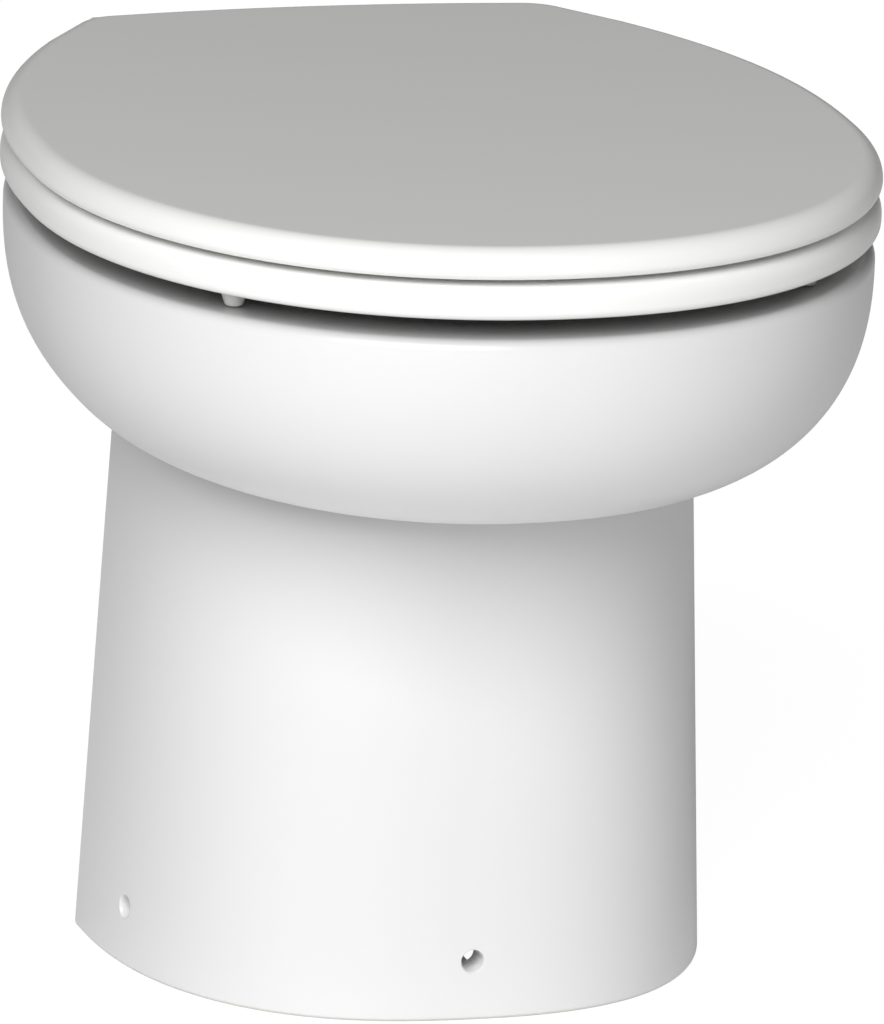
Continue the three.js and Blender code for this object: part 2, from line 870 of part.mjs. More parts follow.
function seat() {
  const ring = withKnuckles(seatRing(), seatKnuckle, seatBottom, seatTop);
  const sockets = seatBumperPlaces.map(([name, x, y]) => {
    return stemSocket(x, y, seatBottom - cutOver, seatBottom + bumperStemLength + 2 * seatGap);
  });
  return cut(ring, ...sockets);
}

function lid() {
  const panel = withKnuckles(lidPanel(), lidKnuckle, lidBottom, lidTop);
  const sockets = lidBumperPlaces.map(([name, x, y]) => {
    return stemSocket(x, y, lidBottom - cutOver, lidBottom + bumperStemLength + 2 * seatGap);
  });
  return cut(panel, ...sockets);
}

function bumper(x, y, from, to) {
  const foot = taperZ(bumperTipRadius, bumperRadius, x, y, from + seatGap, to - seatGap, bumperSides);
  const stem = rodZ(bumperStemRadius, x, y, (from + to) / 2, to + bumperStemLength, bumperSides);
  return join(foot, stem);
}

// A hinge post: a round base on the deck, an upright and a barrel that holds the pin
function hingePost(x) {
  const z0 = postBottom;
  const base = rodZ(postBaseRadius, x, hingeY, z0, z0 + postBaseThickness, motorSides);
  const half = postWidth / 2;
  const depth = postDepth / 2;
  const upright = block(x - half, x + half, hingeY - depth, hingeY + depth, z0, hingeZ);
  const barrel = rodX(barrelRadius, x - half, x + half, hingeY, hingeZ, hingeSides);
  const insert = rodZ(boltRadius + seatGap, x, hingeY, z0 - cutOver, boltTop + seatGap, boltSides);
  return cut(join(base, upright, barrel), pinBore(x - half, x + half), insert);
}

function hingePin(side) {
  const [x0, x1] = side > 0 ? [lidKnuckle[0], seatKnuckle[1]] : [-seatKnuckle[1], -lidKnuckle[0]];
  return rodX(pinRadius, x0 + knuckleGap / 2, x1 - knuckleGap / 2, hingeY, hingeZ, hingeSides);
}

function hingeBolt(x) {
  return rodZ(boltRadius, x, hingeY, boltTop - boltLength, boltTop, boltSides);
}

function hingeWasher(x) {
  const low = washerTop - washerThickness;
  const bore = rodZ(boltRadius + runGap, x, hingeY, low - cutOver, washerTop + cutOver, boltSides);
  return cut(rodZ(washerRadius, x, hingeY, low, washerTop, motorSides), bore);
}

function wingNut(x) {
  const z0 = nutTop - nutHeight;
  const hub = rodZ(nutRadius, x, hingeY, z0, nutTop, boltSides);
  const thin = wingThickness / 2;
  const low = nutTop - wingHeight;
  const [y0, y1] = [hingeY - thin, hingeY + thin];
  const wings = block(x - wingReach, x + wingReach, y0, y1, low, nutTop - wingDrop);
  const bore = rodZ(boltRadius + seatGap, x, hingeY, low - cutOver, nutTop + cutOver, boltSides);
  return cut(join(hub, wings), bore);
}

// Seal, half rings and bolts that hang the pump on the lip of the china outlet
function outletSeal() {
  const ring = rodZ(hornLipRadius, 0, outletY, sealBottom, sealTop, flangeSides);
  const [low, high] = [sealBottom - cutOver, sealTop + cutOver];
  return cut(ring, rodZ(outletRadius, 0, outletY, low, high, flangeSides));
}

function clampPlaces() {
  return Array.from({ length: clampBolts }, (unused, index) => {
    const turn = (Math.PI * 2 * (index + 1 / 2)) / clampBolts;
    const reach = clampBoltCircle / 2;
    return [reach * Math.cos(turn), outletY + reach * Math.sin(turn)];
  });
}

function clampHalf(side) {
  const ring = rodZ(flangeRadius, 0, outletY, clampBottom, clampTop, flangeSides);
  const [low, high] = [clampBottom - cutOver, clampTop + cutOver];
  const bore = rodZ(hornRadius + runGap, 0, outletY, low, high, flangeSides);
  const far = flangeRadius + cutOver;
  const near = clampSplitGap / 2;
  const [x0, x1] = side > 0 ? [-far, near] : [-near, far];
  const away = block(x0, x1, outletY - far, outletY + far, low, high);
  const holes = clampPlaces().map(([x, y]) => {
    return rodZ(clampBoltRadius + runGap, x, y, low, high, boltSides);
  });
  return cut(ring, bore, away, ...holes);
}

function clampBolt([x, y]) {
  const foot = clampTop + seatGap;
  const head = rodZ(clampHeadRadius, x, y, foot, foot + clampHeadHeight, headSides);
  const end = flangeBottom - clampBoltSpare;
  return join(head, rodZ(clampBoltRadius, x, y, end, clampTop + clampHeadHeight / 2, boltSides));
}

// Points of a quarter turn from heading +X or -X round to another direction
function quarter(steps, place) {
  return Array.from({ length: steps + 1 }, (unused, step) => {
    const turn = (Math.PI / 2) * (step / steps);
    return new THREE.Vector3(...place(Math.sin(turn), Math.cos(turn)));
  });
}

function polyline(points) {
  const path = new THREE.CurvePath();
  points.slice(1).forEach((point, index) => path.add(new THREE.LineCurve3(points[index], point)));
  return path;
}

// The pump's side branch: out of the chamber along +X, then round to +Y
function branch(radius, over) {
  const turnX = pipeX - bendRadius;
  const turnY = branchY + bendRadius;
  const bend = quarter(bendSteps, (sine, cosine) => {
    return [turnX + bendRadius * sine, turnY - bendRadius * cosine, pipeZ];
  });
  const start = new THREE.Vector3(chamberRadius / 2 - over, branchY, pipeZ);
  const end = new THREE.Vector3(pipeX, branchEnd + over, pipeZ);
  return swept(polyline([start, ...bend, end]), radius, pipeSides / 2, branchSteps);
}

function maceratorHousing() {
  const chamber = rodY(chamberRadius, 0, chamberFront, chamberBack, shaftHeight, pumpSides);
  const faceBack = chamberFront + capFlangeThickness;
  const face = rodY(capFlangeRadius, 0, chamberFront, faceBack, shaftHeight, pumpSides);
  const neckTop = flangeBottom + flangeThickness / 2;
  const neck = rodZ(neckRadius, 0, outletY, shaftHeight, neckTop, flangeSides);
  const flange = rodZ(flangeRadius, 0, outletY, flangeBottom, flangeTop, flangeSides);
  const collarStart = branchEnd - branchCollarLength;
  const collar = rodY(collarRadius, pipeX, collarStart, branchEnd, pipeZ, pumpSides);
  const chamberEnd = chamberBack - chamberBackWall;
  const bore = rodY(chamberBore, 0, chamberFront - cutOver, chamberEnd, shaftHeight, pumpSides);
  const inlet = rodZ(outletRadius, 0, outletY, shaftHeight, flangeTop + cutOver, flangeSides);
  const behind = chamberBack + cutOver;
  const shaftHole = rodY(glandBore, 0, chamberEnd - cutOver, behind, shaftHeight, motorSides);
  const holes = clampPlaces().map(([x, y]) => {
    return rodZ(clampBoltRadius + runGap, x, y, flangeBottom - cutOver, flangeTop + cutOver, boltSides);
  });
  const body = join(chamber, face, neck, flange, branch(pipeRadius, 0), collar);
  return cut(body, bore, inlet, branch(pipeBore, cutOver), shaftHole, ...holes);
}

// Ring along the shaft line
function shaftRing(outer, inner, y0, y1, sides) {
  const hole = rodY(inner, 0, y0 - cutOver, y1 + cutOver, shaftHeight, sides);
  return cut(rodY(outer, 0, y0, y1, shaftHeight, sides), hole);
}

// Screw-in cap that closes the front of the pump, with a grip bar and a ring groove
function inspectionCap() {
  const back = chamberFront - seatGap;
  const disc = rodY(capFlangeRadius, 0, back - capThickness, back, shaftHeight, pumpSides);
  const radius = chamberBore - runGap;
  const spigot = rodY(radius, 0, back - capThickness, back + capSpigotDepth, shaftHeight, pumpSides);
  const half = gripLength / 2;
  const thin = gripWidth / 2;
  const front = back - capThickness - gripHeight;
  const middle = back - capThickness / 2;
  const grip = block(-half, half, front, middle, shaftHeight - thin, shaftHeight + thin);
  const floor = radius - capGrooveDepth;
  const grooveBack = capGrooveY + capGrooveWidth;
  const groove = shaftRing(chamberBore + cutOver, floor, capGrooveY, grooveBack, pumpSides);
  return cut(join(disc, spigot, grip), groove);
}

function capRing() {
  const y0 = capGrooveY + seatGap;
  const y1 = capGrooveY + capGrooveWidth - seatGap;
  const outer = chamberBore - runGap;
  return shaftRing(outer, outer - capGrooveDepth + capRingSpare, y0, y1, pumpSides);
}

function shaftBore(y0, y1) {
  return rodY(shaftRadius + seatGap, 0, y0 - cutOver, y1 + cutOver, shaftHeight, boltSides);
}

function motorShaft() {
  return rodY(shaftRadius, 0, shaftFront, casingBack + seatGap + bearingThickness, shaftHeight, motorSides);
}

function cutter() {
  const y1 = cutterY + cutterThickness;
  const thin = cutterWidth / 2;
  const blade = block(-cutterReach, cutterReach, cutterY, y1, shaftHeight - thin, shaftHeight + thin);
  const hub = rodY(cutterHubRadius, 0, cutterY, y1 + cutterThickness, shaftHeight, boltSides);
  return cut(join(blade, hub), shaftBore(cutterY, y1 + cutterThickness));
}

function wearPlate() {
  const y1 = wearPlateY + wearPlateThickness;
  return shaftRing(chamberBore - runGap, wearPlateBore, wearPlateY, y1, pumpSides);
}

function impeller() {
  const y1 = impellerY + impellerThickness;
  const disc = rodY(impellerRadius, 0, y1 - vaneThickness, y1, shaftHeight, pipeSides);
  const hub = rodY(impellerHubRadius, 0, impellerY, y1, shaftHeight, pipeSides);
  const vanes = Array.from({ length: vaneCount }, (unused, index) => {
    const thin = vaneThickness / 2;
    const start = impellerHubRadius / 2;
    const vane = block(start, impellerRadius - vaneThickness, impellerY, y1 - thin, -thin, thin);
    return vane.rotate([0, (360 * index) / vaneCount, 0]).translate([0, 0, shaftHeight]);
  });
  return cut(join(disc, hub, ...vanes), shaftBore(impellerY, y1));
}

function shaftSeal() {
  const y0 = chamberBack - chamberBackWall + ringSetback;
  return shaftRing(glandBore - seatGap, shaftRadius + pinGap, y0, y0 + glandLength, motorSides);
}

function bearing(y0) {
  return shaftRing(bearingRadius, shaftRadius + pinGap, y0, y0 + bearingThickness, motorSides);
}

// An end plate of the motor, with two ears for the tie rods
function motorPlate(y0, y1) {
  const disc = rodY(motorRadius, 0, y0, y1, shaftHeight, motorSides);
  const reach = tieRodSpacing / 2;
  const ears = [-reach, reach].map((x) => {
    const ear = rodY(tieEarRadius, x, y0, y1, shaftHeight, boltSides);
    const inner = x > 0 ? [motorRadius / 2, x] : [x, -motorRadius / 2];
    return join(ear, block(...inner, y0, y1, shaftHeight - tieEarRadius, shaftHeight + tieEarRadius));
  });
  const holes = [-reach, reach].map((x) => {
    return rodY(tieRodRadius + runGap, x, y0 - cutOver, y1 + cutOver, shaftHeight, boltSides);
  });
  return cut(join(disc, ...ears), ...holes);
}

function motorBell() {
  const y1 = bellFront + bellThickness;
  const [low, high] = [bellFront - cutOver, y1 + cutOver];
  const pocket = rodY(bearingRadius + seatGap, 0, low, high, shaftHeight, motorSides);
  return cut(motorPlate(bellFront, y1), pocket);
}

function motorEndCap() {
  const y0 = casingBack + seatGap;
  const depth = y0 + bearingThickness + 2 * seatGap;
  const pocket = rodY(bearingRadius + seatGap, 0, y0 - cutOver, depth, shaftHeight, motorSides);
  const low = shaftHeight + bearingRadius;
  const glandHole = rodZ(cableNeckRadius + runGap, 0, glandY, low, glandTop, boltSides);
  return cut(motorPlate(y0, endCapBack), pocket, glandHole);
}

// Screwed cable inlet on top of the motor's end cap
function cableGland() {
  const foot = shaftHeight + motorRadius + seatGap;
  const hexagon = rodZ(cableGlandRadius, 0, glandY, foot, glandTop, headSides);
  const [low, high] = [foot - cableGlandHeight / 2, (foot + glandTop) / 2];
  const neck = rodZ(cableNeckRadius, 0, glandY, low, high, boltSides);
  const bore = rodZ(cableRadius, 0, glandY, foot - cableGlandHeight, glandTop + cutOver, boltSides);
  return cut(join(hexagon, neck), bore);
}

function motorCasing() {
  return shaftRing(motorRadius, motorRadius - motorWall, casingFront, casingBack, motorSides);
}

function rotor() {
  const core = rodY(rotorRadius, 0, rotorFront, rotorBack, shaftHeight, motorSides);
  const slots = Array.from({ length: rotorSlots }, (unused, index) => {
    const thin = slotWidth / 2;
    const [low, high] = [rotorFront - cutOver, rotorBack + cutOver];
    const slot = block(rotorRadius - slotDepth, rotorRadius + cutOver, low, high, -thin, thin);
    return slot.rotate([0, (360 * index) / rotorSlots, 0]).translate([0, 0, shaftHeight]);
  });
  const start = rotorBack - slotDepth;
  const sleeve = rodY(commutatorRadius, 0, start, commutatorBack, shaftHeight, pipeSides);
  return cut(join(cut(core, ...slots), sleeve), shaftBore(rotorFront, commutatorBack));
}

// The ring of magnets that lines the motor casing
function fieldRing() {
  const outer = casingBore - runGap;
  const y0 = rotorFront - magnetOverhang;
  return shaftRing(outer, outer - magnetThickness, y0, rotorBack + magnetOverhang, motorSides);
}

// Plastic ring that carries the two carbon brushes against the commutator
function brushGear() {
  const outer = casingBore - runGap;
  const ring = shaftRing(outer, brushRingBore, commutatorFront, commutatorBack, motorSides);
  const thin = brushWidth / 2;
  const near = commutatorRadius + runGap;
  const brushes = [[near, near + brushLength], [-near - brushLength, -near]].map(([x0, x1]) => {
    const [y0, y1] = [commutatorFront + brushInset, commutatorBack - brushInset];
    return block(x0, x1, y0, y1, shaftHeight - thin, shaftHeight + thin);
  });
  return join(ring, ...brushes);
}

// A long bolt that draws the two motor plates together and into the pump
function tieRod(side) {
  const x = (side * tieRodSpacing) / 2;
  const back = endCapBack + seatGap;
  const front = bellFront + ringSetback;
  const rod = rodY(tieRodRadius, x, front, back + tieHeadHeight / 2, shaftHeight, boltSides);
  return join(rod, rodY(tieHeadRadius, x, back, back + tieHeadHeight, shaftHeight, headSides));
}

function ellipse(width, height) {
  return eggLoop(width, height, height, 0, 2, pipeSides);
}

// Rubber one-way valve: a flange and a flattened bill that points downstream
function jokerValve() {
  const wide = pipeBore - duckbillGap;
  const bill = drawn(
    [
      { z: -valveFlangeThickness, loop: ellipse(wide, wide) },
      { z: duckbillLength, loop: ellipse(wide, duckbillMouth) },
    ],
    false,
  );
  const hollow = drawn(
    [
      { z: -valveFlangeThickness - cutOver, loop: ellipse(wide - duckbillWall, wide - duckbillWall) },
      { z: 0, loop: ellipse(wide - duckbillWall, wide - duckbillWall) },
      { z: duckbillLength + cutOver, loop: ellipse(wide - duckbillWall, duckbillSlit) },
    ],
    false,
  );
  const flange = rodZ(collarRadius - valveFlangeInset, 0, 0, -valveFlangeThickness, 0, pumpSides);
  return cut(join(bill, flange), hollow).rotate([-90, 0, 0]).translate([pipeX, valveBack, pipeZ]);
}

function dischargeSpigot() {
  const collarEnd = collarFront + collarThickness;
  const collar = rodY(collarRadius, pipeX, collarFront, collarEnd, pipeZ, pumpSides);
  const outline = [[0, collarFront], [spigotRadius, collarFront]];
  for (let barb = 0; barb < barbCount; barb += 1) {
    const foot = spigotEnd - barbStart - (barbCount - 1 - barb) * barbPitch;
    const start = foot - barbPitch / 2;
    outline.push([spigotRadius, start], [spigotRadius + barbRise, start], [spigotRadius, foot]);
  }
  outline.push([spigotRadius, spigotEnd], [0, spigotEnd]);
  const tube = turnedY(outline, pipeX, pipeZ, pumpSides);
  const bore = rodY(pipeBore, pipeX, collarFront - cutOver, spigotEnd + cutOver, pipeZ, pumpSides);
  return cut(join(collar, tube), bore);
}

function unionNut() {
  const y0 = branchEnd - branchCollarLength + unionLip;
  const y1 = collarFront + collarThickness + seatGap + unionLip;
  const body = rodY(unionRadius, pipeX, y0, y1, pipeZ, pipeSides);
  const wide = rodY(collarRadius + runGap, pipeX, y0 - cutOver, y1 - unionLip, pipeZ, pumpSides);
  const narrow = rodY(spigotRadius + runGap, pipeX, y0, y1 + cutOver, pipeZ, pumpSides);
  return cut(body, wide, narrow);
}

// Rinse water: spud in the china, hose, valve on its bracket
function rinseHosePath(over) {
  const bend = quarter(hoseBendSteps, (sine, cosine) => {
    return [hoseBend - hoseBend * sine, hosePlane, hoseLow + hoseBend - hoseBend * cosine];
  });
  const start = new THREE.Vector3(valveLeft - seatGap + over, hosePlane, hoseLow);
  return polyline([start, ...bend, new THREE.Vector3(0, hosePlane, hoseTop + over)]);
}

function rinseHose() {
  const outside = swept(rinseHosePath(0), hoseRadius, hoseSides / 2, hoseSteps);
  return cut(outside, swept(rinseHosePath(cutOver), hoseBore, hoseSides / 2, hoseSteps));
}

function rinseSpud() {
  const face = rimReach + seatGap;
  const tail = rodY(inletRadius - runGap, 0, face - spudTail, hosePlane, inletZ, boltSides);
  const collar = rodY(spudCollarRadius, 0, face, face + spudCollarThickness, inletZ, holeSides);
  const head = rodZ(spudHead, 0, hosePlane, inletZ - spudDrop, inletZ + spudHead, holeSides);
  const stem = rodZ(stemRadius, 0, hosePlane, inletZ - spudDrop - stemReach, inletZ, boltSides);
  const along = rodY(hoseBore, 0, face - spudTail - cutOver, hosePlane, inletZ, boltSides);
  const down = rodZ(stemBore, 0, hosePlane, inletZ - spudDrop - stemReach - cutOver, inletZ, boltSides);
  return cut(join(tail, collar, head, stem), along, down);
}

function valveBody() {
  const depth = valveDepth / 2;
  const right = valveX + valveWidth / 2;
  const box = block(valveLeft, right, hosePlane - depth, hosePlane + depth, valveBottom, valveTop);
  const [outEnd, inEnd] = [valveLeft - stemReach, right + valveInlet];
  const outlet = rodX(stemRadius, outEnd, valveX, hosePlane, hoseLow, boltSides);
  const inlet = rodX(inletStemRadius, valveX, inEnd, hosePlane, hoseLow, boltSides);
  const outBore = rodX(stemBore, outEnd - cutOver, valveX, hosePlane, hoseLow, boltSides);
  const inBore = rodX(inletStemBore, valveX, inEnd + cutOver, hosePlane, hoseLow, boltSides);
  const low = valveTop - valveChamberDepth;
  const chamber = rodZ(valveChamberRadius, valveX, hosePlane, low, valveTop + cutOver, pipeSides);
  const port = rodZ(valvePortRadius, valveX, hosePlane, hoseLow, valveTop, boltSides);
  return cut(join(box, outlet, inlet), outBore, inBore, chamber, port);
}

function diaphragm() {
  const z1 = diaphragmLow + diaphragmThickness;
  return rodZ(diaphragmRadius, valveX, hosePlane, diaphragmLow, z1, pipeSides);
}

function coreTube() {
  const flangeEnd = coreFoot + coreFlangeThickness;
  const flange = rodZ(coreFlangeRadius, valveX, hosePlane, coreFoot, flangeEnd, pipeSides);
  const tube = rodZ(coreTubeRadius, valveX, hosePlane, coreFoot, coreEnd + coreTubeCap, pipeSides);
  const radius = plungerRadius + pinGap;
  const bore = rodZ(radius, valveX, hosePlane, coreFoot - cutOver, coreEnd, pipeSides);
  return cut(join(flange, tube), bore);
}

// Moulded coil with its two terminal blades
function coil() {
  const z1 = coilFoot + coilHeight;
  const winding = rodZ(coilRadius, valveX, hosePlane, coilFoot, z1, pipeSides);
  const radius = coreTubeRadius + runGap;
  const bore = rodZ(radius, valveX, hosePlane, coilFoot - cutOver, z1 + cutOver, pipeSides);
  const [thin, wide] = [terminalThickness / 2, terminalWidth / 2];
  const y = hosePlane - radius - wide;
  const blades = [-1, 1].map((side) => {
    const x = valveX + (side * terminalSpacing) / 2;
    return block(x - thin, x + thin, y - wide, y + wide, z1 - terminalHeight, z1 + terminalHeight);
  });
  return cut(join(winding, ...blades), bore);
}

function plunger() {
  return rodZ(plungerRadius, valveX, hosePlane, plungerLow, plungerLow + plungerLength, pipeSides);
}

class SpringCurve extends THREE.Curve {
  getPoint(share, target = new THREE.Vector3()) {
    const turn = Math.PI * 2 * springTurns * share;
    const low = springLow + springWire + seatGap;
    const high = springLow + springLength - springWire - seatGap;
    const x = valveX + springRadius * Math.cos(turn);
    return target.set(x, hosePlane + springRadius * Math.sin(turn), low + (high - low) * share);
  }
}

function plungerSpring() {
  return swept(new SpringCurve(), springWire, springSides / 2, springTurns * springStepsPerTurn);
}

// A clip round the discharge spigot with an upright tab and a shelf under the valve
function valveBracket() {
  const y1 = clipY + clipWidth;
  const inner = spigotRadius + runGap;
  const ring = cut(
    rodY(inner + clipWall, pipeX, clipY, y1, pipeZ, pumpSides),
    rodY(inner, pipeX, clipY - cutOver, y1 + cutOver, pipeZ, pumpSides),
  );
  const shelfTop = valveBottom - seatGap;
  const shelfLow = shelfTop - clipShelfThickness;
  const half = clipTabWidth / 2;
  const foot = pipeZ + inner + clipWall / 2;
  const tab = block(pipeX - half, pipeX + half, clipY, clipY + clipWall, foot, shelfTop);
  const [right, back] = [valveX + valveWidth / 2, hosePlane + valveDepth / 2];
  const shelf = block(valveLeft, right, clipY, back, shelfLow, shelfTop);
  return join(ring, tab, shelf);
}

const toilet = new THREE.Group();
const add = (name, body, material) => toilet.add(part(name, body, material));
const sides = [["left", -1], ["right", 1]];

add("china_bowl", chinaBowl(), china());
fixingHoles().forEach((hole) => add(`floor_bracket_${hole.name}`, floorBracket(hole), whiteNylon()));

add("seat", seat(), seatPlastic());
add("lid", lid(), seatPlastic());
seatBumperPlaces.forEach(([name, x, y]) => {
  add(`seat_bumper_${name}`, bumper(x, y, rimHeight, seatBottom), bumperRubber());
});
lidBumperPlaces.forEach(([name, x, y]) => {
  add(`lid_bumper_${name}`, bumper(x, y, seatTop, lidBottom), bumperRubber());
});

sides.forEach(([name, side]) => {
  const x = side * hingeX;
  add(`hinge_post_${name}`, hingePost(x), seatPlastic());
  add(`hinge_pin_${name}`, hingePin(side), stainless());
  add(`hinge_bolt_${name}`, hingeBolt(x), stainless());
  add(`hinge_washer_${name}`, hingeWasher(x), blackRubber());
  add(`wing_nut_${name}`, wingNut(x), whiteNylon());
});

add("outlet_seal", outletSeal(), blackRubber());
sides.forEach(([name, side]) => add(`clamp_ring_${name}`, clampHalf(side), stainless()));
clampPlaces().forEach((place, index) => add(`clamp_bolt_${index + 1}`, clampBolt(place), stainless()));

add("macerator_housing", maceratorHousing(), blackPlastic());
add("inspection_cap", inspectionCap(), greyPlastic());
add("inspection_cap_ring", capRing(), blackRubber());
add("cutter_blade", cutter(), stainless());
add("wear_plate", wearPlate(), stainless());
add("impeller", impeller(), greyPlastic());
add("shaft_seal", shaftSeal(), blackRubber());

add("motor_shaft", motorShaft(), stainless());
add("motor_bell", motorBell(), motorPaint());
add("motor_bearing_front", bearing(bellFront + ringSetback), stainless());
add("motor_casing", motorCasing(), motorPaint());
add("motor_rotor", rotor(), laminations());
add("motor_field_ring", fieldRing(), ferrite());
add("motor_brush_gear", brushGear(), blackPlastic());
sides.forEach(([name, side]) => add(`motor_tie_rod_${name}`, tieRod(side), stainless()));
add("motor_bearing_rear", bearing(casingBack + 2 * seatGap), stainless());
add("motor_end_cap", motorEndCap(), motorPaint());
add("cable_gland", cableGland(), blackPlastic());

add("joker_valve", jokerValve(), blackRubber());
add("discharge_spigot", dischargeSpigot(), blackPlastic());
add("union_nut", unionNut(), greyPlastic());

add("rinse_spud", rinseSpud(), whiteNylon());
add("rinse_hose", rinseHose(), clearHose());
add("valve_bracket", valveBracket(), stainless());
add("valve_body", valveBody(), whiteNylon());
add("valve_diaphragm", diaphragm(), blackRubber());
add("valve_core_tube", coreTube(), stainless());
add("valve_coil", coil(), blackPlastic());
add("valve_plunger", plunger(), stainless());
add("plunger_spring", plungerSpring(), stainless());

toilet.position.y = placeY;

export default toilet;
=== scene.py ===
"""Looks of an electric marine toilet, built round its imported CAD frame.

Lengths in the classes are millimetres from the middle of the rim's widest line and from the
floor, and at() brings them into the frame's metres.
"""

import json
import logging
import math
from dataclasses import dataclass
from enum import Enum
from typing import Sequence

import bmesh
import bpy
from mathutils import Matrix, Vector


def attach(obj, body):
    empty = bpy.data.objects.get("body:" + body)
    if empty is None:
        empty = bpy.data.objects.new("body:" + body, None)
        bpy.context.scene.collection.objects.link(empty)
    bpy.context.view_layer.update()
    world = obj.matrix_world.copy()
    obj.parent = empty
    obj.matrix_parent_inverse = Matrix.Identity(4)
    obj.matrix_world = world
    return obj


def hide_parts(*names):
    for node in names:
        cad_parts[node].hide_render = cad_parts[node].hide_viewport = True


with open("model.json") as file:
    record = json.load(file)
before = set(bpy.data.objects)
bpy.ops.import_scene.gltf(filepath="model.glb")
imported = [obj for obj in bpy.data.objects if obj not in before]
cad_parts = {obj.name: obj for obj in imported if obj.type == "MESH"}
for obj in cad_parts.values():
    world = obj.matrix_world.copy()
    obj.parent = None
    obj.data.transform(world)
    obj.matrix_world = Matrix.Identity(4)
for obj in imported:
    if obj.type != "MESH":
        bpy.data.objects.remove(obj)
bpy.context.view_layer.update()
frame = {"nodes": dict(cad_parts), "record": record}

LOG = logging.getLogger("marine_toilet")
MM = 0.001
SHIFT_Y = -28.75  # from the rim's widest line to the frame's origin
GAP = 0.3  # room between two pieces
OVER = 3.0  # how far a tool runs past what it cuts
PIN_OVER = 20.0  # the same for the hinge pins' bores
QUARTER = math.pi / 2
TURN = 2 * math.pi
PAINTED_SHADE_REACH = 0.02  # metres between the walls of the widest gap where shade is painted into the colour
PAINTED_SHADE_SAMPLES = 16
PAINTED_SHADE_FROM = 0.1  # metres over the floor where painted gap shade starts, full at twice this
NOISE_SPAN = (0.3, 0.7)  # where most of a noise's values lie
MIX_INPUTS = (0, 6, 7)  # a colour mix node's factor and two colours
MIX_RESULT = 2

Point = tuple[float, float]
Pair = tuple[float, float]
Triple = tuple[float, float, float]
Colour = tuple[float, float, float]
Places = tuple[tuple[str, float, float], ...]
Loop = list[Vector]
Body = bmesh.types.BMesh
Socket = bpy.types.NodeSocket


class Axis(Enum):
    """Direction that a turned piece is laid along."""

    X = "x"
    Y = "y"
    Z = "z"

    def matrix(self) -> Matrix:
        """Turns +Z on to this axis.

        Returns:
            The turn.
        """
        if self is Axis.X:
            return Matrix.Rotation(QUARTER, 4, "Y")
        if self is Axis.Y:
            return Matrix.Rotation(-QUARTER, 4, "X")
        return Matrix.Identity(4)


class Cut(Enum):
    """What a tool does to the body it meets."""

    JOIN = "UNION"
    TAKE = "DIFFERENCE"
    KEEP = "INTERSECT"


# --- Finishes -------------------------------------------------------------------------------


